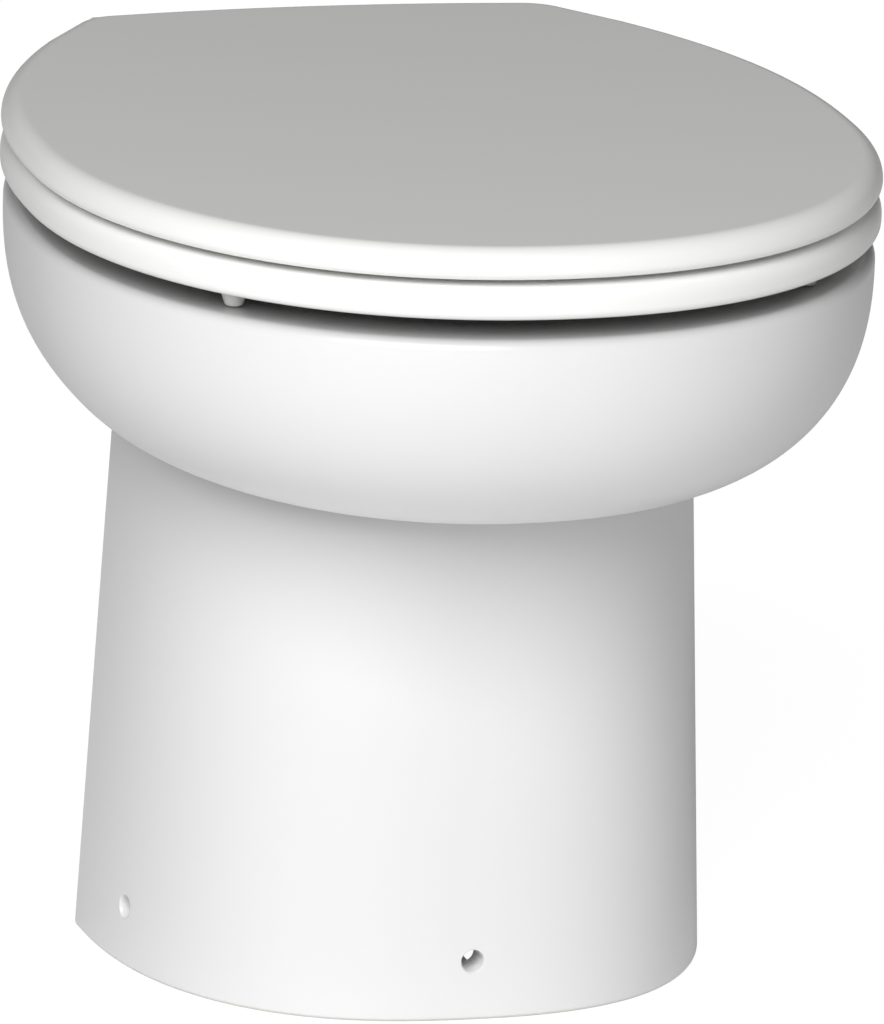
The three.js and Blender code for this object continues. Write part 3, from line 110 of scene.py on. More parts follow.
class NodeBench:
    """A material's node tree, with short calls to add and link its nodes."""

    def __init__(self, name: str) -> None:
        """Makes a material with only a shader.

        Args:
            name: The material's name.
        """
        self.material = bpy.data.materials.new(name)
        self.material.use_nodes = True
        self.tree = self.material.node_tree
        self.tree.nodes.clear()
        surface = self.add("ShaderNodeBsdfPrincipled", "BSDF")
        self.shader = surface.node
        self.fill(self.tree.nodes.new("ShaderNodeOutputMaterial"), Surface=surface)
        self.place = self.add("ShaderNodeTexCoord", "Object")

    def put(self, socket: Socket, value: object) -> None:
        """Links an output to a socket, or sets the socket's value.

        Args:
            socket: The socket that takes it.
            value: A node's output or a plain value.
        """
        if isinstance(value, Socket):
            self.tree.links.new(value, socket)
        else:
            socket.default_value = value

    def fill(self, node: bpy.types.Node, **values: object) -> None:
        """Links or sets a node's sockets by name, with underscores for the blanks in a name."""
        for name, value in values.items():
            self.put(node.inputs[name.replace("_", " ")], value)

    def set(self, **values: object) -> None:
        """Links or sets the shader's own sockets, as fill does."""
        self.fill(self.shader, **values)

    def add(self, kind: str, out: str, **values: object) -> Socket:
        """Adds a node.

        Args:
            kind: The node's type name.
            out: Name of the output to return.
            values: Outputs or values by socket name, with underscores for blanks.

        Returns:
            The named output.
        """
        node = self.tree.nodes.new(kind)
        self.fill(node, **values)
        return node.outputs[out]

    def sum(self, operation: str, *values: object) -> Socket:
        """Adds a math node.

        Args:
            operation: What it does.
            values: Outputs or numbers, in the node's order.

        Returns:
            The result.
        """
        node = self.tree.nodes.new("ShaderNodeMath")
        node.operation = operation
        for socket, value in zip(node.inputs, values):
            self.put(socket, value)
        return node.outputs["Value"]

    def blend(self, share: Socket, low: object, high: object) -> Socket:
        """Blends two colours.

        Args:
            share: Output that is 0 at the low colour and 1 at the high one.
            low: An output, or a colour with its alpha.
            high: The same for the other colour.

        Returns:
            The blended colour.
        """
        node = self.tree.nodes.new("ShaderNodeMix")
        node.data_type = "RGBA"
        for index, value in zip(MIX_INPUTS, (share, low, high)):
            self.put(node.inputs[index], value)
        return node.outputs[MIX_RESULT]

    def noise(self, scale: float, detail: float = 2.0, stretch: Sequence[float] = (1, 1, 1)) -> Socket:
        """Adds noise in grains to the metre, with octaves of finer grain, scaled along each axis."""
        place = self.add("ShaderNodeMapping", "Vector", Vector=self.place, Scale=tuple(stretch))
        return self.add("ShaderNodeTexNoise", "Fac", Vector=place, Scale=scale, Detail=detail)

    def shade(self, source: Socket, low: Colour, high: Colour, ends: Pair = NOISE_SPAN) -> Socket:
        """Turns a value into a blend of two colours.

        Args:
            source: The value.
            low: Colour at the low end.
            high: Colour at the high end.
            ends: Values at the two ends.

        Returns:
            The colour.
        """
        node = self.tree.nodes.new("ShaderNodeValToRGB")
        for element, position, colour in zip(node.color_ramp.elements, ends, (low, high)):
            element.position = position
            element.color = (*colour, 1)
        self.fill(node, Fac=source)
        return node.outputs["Color"]

    def ranged(self, source: Socket, span: Pair, low: float = 0.0, high: float = 1.0) -> Socket:
        """Maps a value from one range on to another.

        Args:
            source: The value.
            span: Its range.
            low: New value at the range's start.
            high: New value at the range's end.

        Returns:
            The new value.
        """
        start, end = span
        ends = {"From_Min": start, "From_Max": end, "To_Min": low, "To_Max": high}
        return self.add("ShaderNodeMapRange", "Result", Value=source, **ends)

    def height(self) -> Socket:
        """Returns the height over the object's origin."""
        return self.add("ShaderNodeSeparateXYZ", "Z", Vector=self.place)

    def painted_gap_shade(self, source: Socket, painted_shade_colour: Colour) -> Socket:
        """Paints shade into a colour in narrow gaps well over the floor, from an ambient occlusion node.

        Args:
            source: The colour.
            painted_shade_colour: Colour deep in a gap.

        Returns:
            The colour with its painted shade.
        """
        # painted shade: the colour darkens where an ambient occlusion node finds walls within reach
        unshaded_share = self.add("ShaderNodeAmbientOcclusion", "AO", Distance=PAINTED_SHADE_REACH)
        unshaded_share.node.samples = PAINTED_SHADE_SAMPLES
        low_down = self.ranged(self.height(), (PAINTED_SHADE_FROM, 2 * PAINTED_SHADE_FROM), 1.0, 0.0)
        return self.blend(self.sum("MAXIMUM", unshaded_share, low_down), (*painted_shade_colour, 1), source)

    def bump(self, source: Socket, strength: float, depth: float) -> None:
        """Raises the surface by a value: the share that shows, and the height in metres."""
        values = {"Height": source, "Strength": strength, "Distance": depth}
        self.set(Normal=self.add("ShaderNodeBump", "Normal", **values))


@dataclass(frozen=True)
class Finish:
    """A surface: its slot in the record, its colour, how it is worn and grained, and how much shade is
    painted into its narrow gaps.
    """

    name: str
    slot: str
    colour: Colour
    roughness: float
    metallic: float = 0.0
    coat: float = 0.0
    coat_roughness: float = 0.06
    grain: float = 60.0
    tone: float = 0.04
    scatter: float = 0.06
    relief: float = 0.05
    relief_scale: float = 900.0
    relief_depth: float = 0.0004
    stretch: Triple = (1.0, 1.0, 1.0)
    # share of the colour that painted shade leaves deep in narrow gaps, 1 for none
    painted_shade_share: float = 1.0

    def material(self) -> bpy.types.Material:
        """Makes this finish's material, or finds it again.

        Returns:
            The material.
        """
        known = bpy.data.materials.get(self.name)
        if known is not None:
            return known
        bench = NodeBench(self.name)
        bench.set(Metallic=self.metallic, Coat_Weight=self.coat, Coat_Roughness=self.coat_roughness)
        self.dress(bench)
        return bench.material

    def tint(self, share: float) -> Colour:
        """Returns the colour times a share, each channel at most 1."""
        return tuple(min(1.0, channel * share) for channel in self.colour)

    def worn(self, bench: NodeBench, finer: float = 1.0, detail: float = 3.0) -> Socket:
        """Returns a roughness that wanders, in grains this many times finer than the colour's."""
        noise, half = bench.noise(self.grain * finer, detail, self.stretch), self.scatter / 2
        return bench.ranged(noise, NOISE_SPAN, self.roughness - half, self.roughness + half)

    def dress(self, bench: NodeBench) -> None:
        """Builds the colour with its painted gap shade, roughness and relief.

        Args:
            bench: The material's node tree.
        """
        cloud = bench.noise(self.grain, 3.0, self.stretch)
        colour = bench.shade(cloud, self.tint(1 - self.tone), self.tint(1 + self.tone / 2))
        # paints shade into narrow gaps
        if self.painted_shade_share < 1:
            colour = bench.painted_gap_shade(colour, self.tint(self.painted_shade_share))
        bench.set(Base_Color=colour, Roughness=self.worn(bench, 2.7, 4.0))
        bench.bump(bench.noise(self.relief_scale, 2.0, self.stretch), self.relief, self.relief_depth)


@dataclass(frozen=True)
class GlazedChina(Finish):
    """Vitreous china: an even white glaze that stops just over the foot."""

    coat_roughness: float = 0.2
    glaze_line: float = 0.0012
    glaze_fade: float = 0.0012
    glaze_wander: float = 0.001
    wander_grain: float = 90.0
    clay: Colour = (0.7, 0.67, 0.61)
    clay_roughness: float = 0.75

    def dress(self, bench: NodeBench) -> None:
        """Builds the glaze, the bare clay at the foot's edge, and the shade painted into narrow gaps.

        Args:
            bench: The material's node tree.
        """
        edge = bench.sum("MULTIPLY_ADD", bench.noise(self.wander_grain), -self.glaze_wander, bench.height())
        above = bench.ranged(edge, (self.glaze_line - self.glaze_fade, self.glaze_line))
        glaze = bench.shade(bench.noise(self.grain, 3.0), self.tint(1 - self.tone), self.colour)
        # painted shade in narrow gaps over the glaze and clay
        colour = bench.painted_gap_shade(bench.blend(above, (*self.clay, 1), glaze), self.tint(self.painted_shade_share))
        values = {"Factor": above, "A": self.clay_roughness, "B": self.worn(bench, 3.0)}
        bench.set(Base_Color=colour, Roughness=bench.add("ShaderNodeMix", "Result", **values))
        bench.bump(bench.noise(self.relief_scale), self.relief, self.relief_depth)


@dataclass(frozen=True)
class BraidedHose(Finish):
    """Milky hose with a diamond braid of thread under its skin."""

    coat: float = 0.3
    coat_roughness: float = 0.15
    threads: float = 520.0
    thread_edge: Pair = (0.86, 0.97)
    thread_colour: Colour = (0.9, 0.92, 0.93)

    def dress(self, bench: NodeBench) -> None:
        """Builds the braid from two crossed bands.

        Args:
            bench: The material's node tree.
        """
        bands = []
        for turn in (QUARTER / 2, -QUARTER / 2):
            place = bench.add("ShaderNodeMapping", "Vector", Vector=bench.place, Rotation=(turn, turn, turn))
            bands.append(bench.add("ShaderNodeTexWave", "Fac", Vector=place, Scale=self.threads / TURN))
        cross = bench.sum("MAXIMUM", *bands)
        colour = bench.shade(cross, self.colour, self.thread_colour, self.thread_edge)
        bench.set(Base_Color=colour, Roughness=self.worn(bench))
        bench.bump(cross, self.relief, self.relief_depth)


@dataclass(frozen=True)
class StackedSheets(Finish):
    """Steel sheets stacked along the motor's shaft."""

    sheets: float = 1300.0
    unevenness: float = 0.4
    gap_tone: float = 0.6

    def dress(self, bench: NodeBench) -> None:
        """Builds the edges of the stacked sheets.

        Args:
            bench: The material's node tree.
        """
        values = {"Vector": bench.place, "Scale": self.sheets / TURN, "Distortion": self.unevenness}
        wave = bench.add("ShaderNodeTexWave", "Fac", **values)
        wave.node.bands_direction = "Y"
        colour = bench.shade(wave, self.tint(self.gap_tone), self.colour)
        bench.set(Base_Color=colour, Roughness=self.worn(bench))
        bench.bump(wave, self.relief, self.relief_depth)


# China and seat plastic take painted shade in their narrow gaps, down to a quarter of their colour.
CHINA = GlazedChina(
    "glazed_china", "china", (0.83, 0.83, 0.83), 0.3, coat=0.18, grain=9.0, tone=0.01,
    scatter=0.04, relief=0.05, relief_scale=140.0, relief_depth=0.0003, painted_shade_share=0.25,
)
SEAT_PLASTIC = Finish(
    "seat_plastic", "seat_plastic", (0.83, 0.83, 0.83), 0.33, coat=0.08, grain=14.0, tone=0.01,
    scatter=0.05, relief=0.04, relief_scale=700.0, relief_depth=0.00015, painted_shade_share=0.25,
)
BUMPER_RUBBER = Finish(
    "bumper_rubber", "bumper_rubber", (0.78, 0.78, 0.78), 0.62, grain=200.0, relief=0.15, relief_scale=2500.0,
)
NYLON = Finish(
    "white_nylon", "white_nylon", (0.74, 0.74, 0.71), 0.42, grain=70.0, tone=0.05,
    relief=0.12, relief_scale=1800.0, relief_depth=0.0002,
)
BLACK_PLASTIC = Finish(
    "black_plastic", "black_plastic", (0.022, 0.023, 0.025), 0.45, grain=90.0, tone=0.3,
    scatter=0.12, relief=0.25, relief_scale=2200.0, relief_depth=0.0002,
)
GREY_PLASTIC = Finish(
    "grey_plastic", "grey_plastic", (0.2, 0.215, 0.225), 0.45, grain=90.0, tone=0.12,
    scatter=0.1, relief=0.2, relief_scale=2000.0, relief_depth=0.0002,
)
BLACK_RUBBER = Finish(
    "black_rubber", "black_rubber", (0.016, 0.016, 0.016), 0.8, grain=120.0, tone=0.3,
    relief=0.3, relief_scale=3000.0, relief_depth=0.0002,
)
STAINLESS = Finish(
    "stainless_steel", "stainless_steel", (0.56, 0.57, 0.58), 0.26, metallic=1.0, grain=160.0, tone=0.12,
    scatter=0.14, relief=0.12, relief_scale=1200.0, relief_depth=0.0001, stretch=(1.0, 1.0, 12.0),
)
MOTOR_PAINT = Finish(
    "motor_paint", "motor_paint", (0.022, 0.024, 0.028), 0.32, coat=0.25, grain=60.0, tone=0.2,
    scatter=0.12, relief=0.2, relief_scale=1100.0, relief_depth=0.0002,
)
LAMINATIONS = StackedSheets("laminations", "laminations", (0.2, 0.205, 0.21), 0.45, metallic=0.9, relief=0.3)
FERRITE = Finish(
    "ferrite", "ferrite", (0.04, 0.04, 0.043), 0.75, grain=500.0, tone=0.3, relief=0.3, relief_scale=2600.0,
)
HOSE = BraidedHose(
    "rinse_hose_skin", "hose", (0.6, 0.63, 0.64), 0.32, grain=120.0, relief=0.25, relief_depth=0.0003,
)
FINISHES = (
    CHINA, SEAT_PLASTIC, BUMPER_RUBBER, NYLON, BLACK_PLASTIC, GREY_PLASTIC, BLACK_RUBBER,
    STAINLESS, MOTOR_PAINT, LAMINATIONS, FERRITE, HOSE,
)


# --- Mesh tools -----------------------------------------------------------------------------


def at(x: float, y: float, z: float) -> Vector:
    """Returns a place on the toilet as a point of the frame."""
    return Vector((x * MM, (y + SHIFT_Y) * MM, z * MM))


def local(x: float, y: float, z: float) -> Vector:
    """Returns a step or a place about the frame's origin, in metres."""
    return Vector((x, y, z)) * MM


def mirrored(side: int, ends: Pair) -> list[float]:
    """Returns two distances to one side of the middle, side 1 or -1, in rising order."""
    return sorted(side * end for end in ends)


def rounded(points: Sequence[Point], radius: float, steps: int = 4, closed: bool = False) -> list[Point]:
    """Rounds the corners of an outline.

    Args:
        points: The outline's corners.
        radius: How far from a corner the round starts, at most half of an edge.
        steps: Edges in each round.
        closed: Whether the last corner joins the first.

    Returns:
        The outline with its corners rounded.
    """
    count = len(points)
    result = []
    for index, corner in enumerate(points):
        if not closed and index in (0, count - 1):
            result.append(corner)
            continue
        here = Vector(corner)
        before = Vector(points[index - 1]) - here
        after = Vector(points[(index + 1) % count]) - here
        reach = min(radius, before.length / 2.001, after.length / 2.001)
        start = here + before.normalized() * reach
        end = here + after.normalized() * reach
        for step in range(steps + 1):
            share = step / steps
            spot = start.lerp(here, share).lerp(here.lerp(end, share), share)
            result.append((spot.x, spot.y))
    return result


def rounds(radius: float, step: int, height: float | None = None) -> list[Point]:
    """Steps round the upper edge of a body, from its side to its top.

    Args:
        radius: How far the round goes in.
        step: Degrees from one to the next.
        height: How far the round goes down, the same as radius where it is left out.

    Returns:
        How far in and how far down each step lies.
    """
    fall = radius if height is None else height
    turns = [math.radians(angle) for angle in range(0, 91, step)]
    return [(radius * (1 - math.cos(turn)), fall * (1 - math.sin(turn))) for turn in turns]


def bulge(turn: float, power: float) -> Point:
    """Finds a place on the edge of a rounded square.

    Args:
        turn: Radians round it.
        power: 2 for a circle, more for fuller corners.

    Returns:
        Its place across and along, each from -1 to 1.
    """
    cosine, sine = math.cos(turn), math.sin(turn)
    across = abs(cosine) ** (2 / power) * math.copysign(1, cosine)
    return across, abs(sine) ** (2 / power) * math.copysign(1, sine)


def groove(radius: float, middle: float, depth: float, halves: Pair) -> list[Point]:
    """Outlines a groove round a turned body.

    Args:
        radius: The body's radius.
        middle: Height of the groove's middle.
        depth: How deep it is.
        halves: Half its width at the top and at the floor.

    Returns:
        Its points of radius and height.
    """
    top, floor = halves
    sunk = radius - depth
    return [(radius, middle - top), (sunk, middle - floor), (sunk, middle + floor), (radius, middle + top)]


def moved(body: Body, matrix: Matrix) -> Body:
    """Moves a body and returns it."""
    bmesh.ops.transform(body, matrix=matrix, verts=body.verts)
    return body


def loft(rings: Sequence[Loop], closed: bool = False) -> Body:
    """Draws a skin from ring to ring by extruding the first ring's edges.

    Args:
        rings: Rings of the same number of points, in metres.
        closed: Whether the last ring joins the first, otherwise both ends are filled.

    Returns:
        The closed skin.
    """
    body = bmesh.new()
    current = [body.verts.new(point) for point in rings[0]]
    count = len(current)
    edges = [body.edges.new((current[i], current[(i + 1) % count])) for i in range(count)]
    first = list(edges)
    for ring in rings[1:]:
        grown = bmesh.ops.extrude_edge_only(body, edges=edges)["geom"]
        fresh = {item for item in grown if isinstance(item, bmesh.types.BMVert)}
        edges = [item for item in grown if isinstance(item, bmesh.types.BMEdge) and set(item.verts) <= fresh]
        following = []
        for vert in current:
            following.append(next(e.other_vert(vert) for e in vert.link_edges if e.other_vert(vert) in fresh))
        for vert, point in zip(following, ring):
            vert.co = point
        current = following
    if closed:
        bmesh.ops.bridge_loops(body, edges=first + edges)
    else:
        bmesh.ops.contextual_create(body, geom=first)
        bmesh.ops.contextual_create(body, geom=edges)
    bmesh.ops.recalc_face_normals(body, faces=body.faces)
    return body


def bevelled(body: Body, soft: float, segments: int) -> Body:
    """Rounds every edge of a body.

    Args:
        body: The body.
        soft: Round of its edges in millimetres, 0 for none.
        segments: Faces across each round.

    Returns:
        The same body.
    """
    if soft:
        bmesh.ops.bevel(
            body, geom=body.edges[:], offset=soft * MM, affect="EDGES", segments=segments, profile=0.5,
            material=-1,
        )
    return body


def block(low: Vector, high: Vector, soft: float = 0.0) -> Body:
    """Makes a box.

    Args:
        low: Lowest corner in the frame.
        high: Highest corner in the frame.
        soft: Round of its edges in millimetres.

    Returns:
        The box.
    """
    body = bmesh.new()
    bmesh.ops.create_cube(body, size=1)
    moved(body, Matrix.Translation((low + high) / 2) @ Matrix.Diagonal((*(high - low), 1)))
    return bevelled(body, soft, 3)


def plate(outline: Sequence[Vector], depth: Vector, soft: float = 0.0) -> Body:
    """Extrudes a flat outline.

    Args:
        outline: Corners of the face in the frame.
        depth: How far and which way it is drawn.
        soft: Round of its edges in millimetres.

    Returns:
        The plate.
    """
    body = bmesh.new()
    face = body.faces.new([body.verts.new(point) for point in outline])
    grown = bmesh.ops.extrude_face_region(body, geom=[face])["geom"]
    fresh = [item for item in grown if isinstance(item, bmesh.types.BMVert)]
    bmesh.ops.translate(body, vec=depth, verts=fresh)
    bmesh.ops.recalc_face_normals(body, faces=body.faces)
    return bevelled(body, soft, 2)


def tube(path: Sequence[Vector], radius: float, sides: int) -> Body:
    """Draws a round bar along a path.

    Args:
        path: Points of its middle line in the frame.
        radius: Its radius in millimetres.
        sides: Faces round it.

    Returns:
        The bar, closed at both ends.
    """
    rings = []
    side = (path[1] - path[0]).normalized().orthogonal().normalized()
    for index, spot in enumerate(path):
        before, after = path[max(index - 1, 0)], path[min(index + 1, len(path) - 1)]
        along = (after - before).normalized()
        side = (side - along * side.dot(along)).normalized()
        across = along.cross(side)
        turns = [TURN * step / sides for step in range(sides)]
        rings.append([spot + (side * math.cos(t) + across * math.sin(t)) * radius * MM for t in turns])
    return loft(rings)


def as_object(body: Body, name: str) -> bpy.types.Object:
    """Writes a bmesh to a new object in the scene.

    Args:
        body: The mesh, which is freed.
        name: The object's name.

    Returns:
        The object.
    """
    mesh = bpy.data.meshes.new(name)
    body.to_mesh(mesh)
    body.free()
    made = bpy.data.objects.new(name, mesh)
    bpy.context.scene.collection.objects.link(made)
    return made


def worked(body: Body, *cuts: tuple[Cut, Body]) -> Body:
    """Joins and cuts a body with tools, one after another.

    Args:
        body: The body to work on.
        cuts: What each tool does, and the tool.

    Returns:
        The finished body.
    """
    base = as_object(body, "work_body")
    tools = []
    for index, (cut, tool) in enumerate(cuts):
        tools.append(as_object(tool, f"work_tool_{index}"))
        modifier = base.modifiers.new(f"work_{index}", "BOOLEAN")
        modifier.solver = "MANIFOLD"
        modifier.operation = cut.value
        modifier.object = tools[-1]
    mesh = bpy.data.meshes.new_from_object(base.evaluated_get(bpy.context.evaluated_depsgraph_get()))
    result = bmesh.new()
    result.from_mesh(mesh)
    bpy.data.meshes.remove(mesh)
    for item in (base, *tools):
        spare = item.data
        bpy.data.objects.remove(item)
        bpy.data.meshes.remove(spare)
    return result


def gathered(*bodies: Body) -> Body:
    """Puts bodies that don't touch in one mesh.

    Args:
        bodies: The bodies, which are freed.

    Returns:
        One mesh that holds them all.
    """
    whole = bmesh.new()
    for body in bodies:
        mesh = bpy.data.meshes.new("gathered")
        body.to_mesh(mesh)
        body.free()
        whole.from_mesh(mesh)
        bpy.data.meshes.remove(mesh)
    return whole


def taken(body: Body, *tools: Body) -> Body:
    """Cuts each tool out of a body and returns what is left."""
    return worked(body, *((Cut.TAKE, tool) for tool in tools))


def joined(body: Body, *others: Body) -> Body:
    """Joins bodies that meet into one, and returns it."""
    return worked(body, *((Cut.JOIN, other) for other in others))


@dataclass(frozen=True)
class Line:
    """A middle line in the frame that round bodies are made on."""

    spot: Vector
    axis: Axis = Axis.Z

    def turned(
        self,
        outline: Sequence[Point],
        soft: float = 0.0,
        arcs: int = 3,
        steps: int = 64,
        hollow: bool = False,
    ) -> Body:
        """Spins an outline of radius and height about the line.

        Args:
            outline: Points of radius and height in millimetres, from the line back to it, or a
                closed outline clear of the line where the body is hollow.
            soft: Round of its corners.
            arcs: Edges in each round.
            steps: Faces round the line.
            hollow: Whether the outline is closed and clear of the line.

        Returns:
            The turned body.
        """
        points = rounded(outline, soft, arcs, hollow) if soft else outline
        body = bmesh.new()
        verts = [body.verts.new((radius * MM, 0, height * MM)) for radius, height in points]
        pairs = list(zip(verts, verts[1:])) + ([(verts[-1], verts[0])] if hollow else [])
        edges = [body.edges.new(pair) for pair in pairs]
        bmesh.ops.spin(
            body, geom=verts + edges, cent=(0, 0, 0), axis=(0, 0, 1), dvec=(0, 0, 0), angle=TURN,
            steps=steps, use_merge=True, use_normal_flip=False, use_duplicate=False,
        )
        bmesh.ops.remove_doubles(body, verts=body.verts, dist=1e-7)
        bmesh.ops.recalc_face_normals(body, faces=body.faces)
        return moved(body, Matrix.Translation(self.spot) @ self.axis.matrix())

    def solid(self, outline: Sequence[Point], soft: float = 0.0, arcs: int = 3, steps: int = 64) -> Body:
        """Spins a solid on the line, with flat ends where the outline starts and ends."""
        return self.turned([(0.0, outline[0][1]), *outline, (0.0, outline[-1][1])], soft, arcs, steps)

    def rod(self, radius: float, low: float, high: float, soft: float = 0.0, steps: int = 64) -> Body:
        """Makes a round bar, its ends rounded by soft, from low to high along the line."""
        return self.solid([(radius, low), (radius, high)], soft, 3, steps)

    def ring(self, outer: float, inner: float, low: float, high: float, soft: float, steps: int = 64) -> Body:
        """Makes a ring, its edges rounded by soft, from low to high along the line."""
        return self.turned([(inner, low), (outer, low), (outer, high), (inner, high)], soft, 3, steps, True)

    def hexagon(self, radius: float, low: float, high: float) -> Body:
        """Makes a hexagon bar with its corners turned off at the far end.

        Args:
            radius: Radius over the corners.
            low: Where it starts along the line.
            high: Where it ends.

        Returns:
            The bar.
        """
        far, top, shoulder = radius * 1.1, radius * 0.86, high - 0.98
        turned_off = self.solid([(far, low), (far, shoulder), (top, high)], steps=48)
        return worked(self.rod(radius, low, high, steps=6), (Cut.KEEP, turned_off))

    def flutes(self, count: int, circle: float, radius: float, span: Pair, soft: float, steps: int) -> Body:
        """Makes rods on a circle round a line that runs along Y.

        Args:
            count: How many.
            circle: The circle's radius.
            radius: Each rod's radius.
            span: Where they start and end.
            soft: Round of their ends.
            steps: Faces round each.

        Returns:
            The rods.
        """
        rods = []
        for index in range(count):
            turn = TURN * index / count
            spot = self.spot + local(math.cos(turn), 0, math.sin(turn)) * circle
            rods.append(Line(spot, self.axis).rod(radius, *span, soft, steps))
        return gathered(*rods)

    def spokes(self, count: int, start: float, low: Vector, high: Vector, soft: float) -> Body:
        """Makes blocks spread round a line that runs along Y.

        Args:
            count: How many.
            start: Where the first stands, in steps from one to the next.
            low: Lowest corner of one that isn't turned, from the line.
            high: Its highest corner.
            soft: Round of their edges.

        Returns:
            The blocks.
        """
        place = Matrix.Translation(self.spot)
        turns = [Matrix.Rotation(TURN * (index + start) / count, 4, "Y") for index in range(count)]
        return gathered(*(moved(block(low, high, soft), place @ turn) for turn in turns))


def upright(x: float, y: float) -> Line:
    """Returns the upright line at a place on the floor."""
    return Line(at(x, y, 0))


def along_x(y: float, z: float) -> Line:
    """Returns the line that runs to the right."""
    return Line(at(0, y, z), Axis.X)


def along_y(x: float, z: float) -> Line:
    """Returns the line that runs to the back."""
    return Line(at(x, 0, z), Axis.Y)


@dataclass(frozen=True)
class Thread:
    """A screw thread: its radius, depth and pitch, the screw's pointed tip and its run-out."""

    radius: float
    depth: float
    pitch: float
    tip: float = 0.0
    run_out: float = 0.6

    def points(self, low: float, high: float) -> list[Point]:
        """Outlines the crests and roots.

        Args:
            low: Where the thread starts.
            high: Height that its last root reaches.

        Returns:
            Points of radius and height.
        """
        outline = []
        while low < high:
            outline += [(self.radius, low + self.pitch / 2), (self.radius - self.depth, low + self.pitch)]
            low += self.pitch
        return outline

    def screw(self, line: Line, low: float, end: float, top: float, steps: int) -> Body:
        """Makes a screw's shank, threaded up from its tip.

        Args:
            line: Its middle line.
            low: Where its tip lies.
            end: Where its thread ends.
            top: Where it ends.
            steps: Faces round it.

        Returns:
            The shank.
        """
        outline = [(self.radius - self.tip, low), *self.points(low + self.tip, end)]
        outline += [(self.radius, outline[-1][1] + self.run_out), (self.radius, top)]
        return line.solid(outline, steps=steps)


def show(
    body: Body, name: str, finish: Finish, *nodes: str, rides: str = "base", sharp: float = 32.0
) -> None:
    """Finishes a piece: smooth faces, sharp corners, its finish, its body and the nodes it shows.

    Args:
        body: The piece's mesh.
        name: The piece's name.
        finish: Its finish.
        nodes: The CAD nodes it stands for.
        rides: The CAD body it moves with.
        sharp: Angle in degrees over which an edge stays sharp.
    """
    bmesh.ops.remove_doubles(body, verts=body.verts, dist=1e-6)
    bmesh.ops.dissolve_degenerate(body, dist=1e-6, edges=body.edges)
    limit = math.radians(sharp)
    for face in body.faces:
        face.smooth = True
    for edge in body.edges:
        edge.smooth = len(edge.link_faces) == 2 and edge.calc_face_angle(0.0) < limit
    made = as_object(body, name)
    made.data.materials.append(finish.material())
    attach(made, rides)
    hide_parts(*nodes)
    LOG.info("made %s: %d faces", name, len(made.data.polygons))


# --- Bowl -----------------------------------------------------------------------------------


@dataclass(frozen=True)
class RimPlan:
    """Outline shared by the bowl's rim, the seat and the lid."""

    half_width: float = 185.0
    front: float = 203.5
    back: float = 227.0
    back_half_width: float = 105.5
    back_bow: float = 7.0
    front_power: float = 2.1
    rear_power: float = 2.31
    corner: float = 9.0
    corner_reach: int = 4
    front_steps: int = 120
    rear_steps: int = 30
    back_steps: int = 36

    def points(self, inset: float, back_inset: float, front_inset: float) -> list[Point]:
        """Draws the outline, brought in at the sides, the back and the front.

        Args:
            inset: How far the sides come in.
            back_inset: How far the back comes in.
            front_inset: How far the front comes in.

        Returns:
            Its points, from the right side round by the back.
        """
        half, front, back = self.half_width - inset, self.front - front_inset, self.back - back_inset
        back_half = max(self.back_half_width - inset, self.back_half_width * (1 - inset / self.half_width))
        side, rear, nose = [], [], []
        for step in range(self.rear_steps):
            share = step / self.rear_steps
            side.append((half - (half - back_half) * share**self.rear_power, back * share))
        for step in range(self.back_steps + 1):
            share = 1 - 2 * step / self.back_steps
            rear.append((back_half * share, back + self.back_bow * (1 - share**2)))
        for step in range(1, self.front_steps):
            across, along = bulge(math.pi * step / self.front_steps, self.front_power)
            nose.append((-half * across, -front * along))
        return side + rear + [(-x, y) for x, y in reversed(side)] + nose

    def loop(
        self, z: float, inset: float, back_inset: float | None = None, front_inset: float | None = None
    ) -> Loop:
        """Lays the outline at one height, with its back corners eased.

        Args:
            z: Height over the floor.
            inset: How far the sides come in.
            back_inset: How far the back comes in, the same as the sides where left out.
            front_inset: How far the front comes in, the same as the sides where left out.

        Returns:
            The ring.
        """
        back_inset = inset if back_inset is None else back_inset
        front_inset = inset if front_inset is None else front_inset
        points = [Vector(point) for point in self.points(inset, back_inset, front_inset)]
        eased, reach = list(points), self.corner_reach
        for corner in (self.rear_steps, self.rear_steps + self.back_steps):
            start, end, tip = points[corner - reach], points[corner + reach], points[corner]
            start = tip + (start - tip).normalized() * min(self.corner, (start - tip).length)
            end = tip + (end - tip).normalized() * min(self.corner, (end - tip).length)
            for step in range(2 * reach + 1):
                share = step / (2 * reach)
                eased[corner - reach + step] = start.lerp(tip, share).lerp(tip.lerp(end, share), share)
        return [at(point.x, point.y, z) for point in eased]


@dataclass(frozen=True)
class Egg:
    """An egg-shaped ring: half width, reach to the front and back, and its widest line."""

    half_width: float
    front: float
    back: float
    middle: float = 0.0
    power: float = 2.2
    steps: int = 144

    def grown(self, grow: float) -> "Egg":
        """Returns the same egg, larger all round."""
        sizes = (size + grow for size in (self.half_width, self.front, self.back))
        return Egg(*sizes, self.middle, self.power, self.steps)

    def loop(self, z: float) -> Loop:
        """Lays the egg at one height.

        Args:
            z: Height over the floor.

        Returns:
            The ring.
        """
        places = [bulge(TURN * step / self.steps, self.power) for step in range(self.steps)]
        back, front = self.back - self.middle, self.front + self.middle
        return [
            at(self.half_width * across, self.middle + (back if along > 0 else front) * along, z)
            for across, along in places
        ]


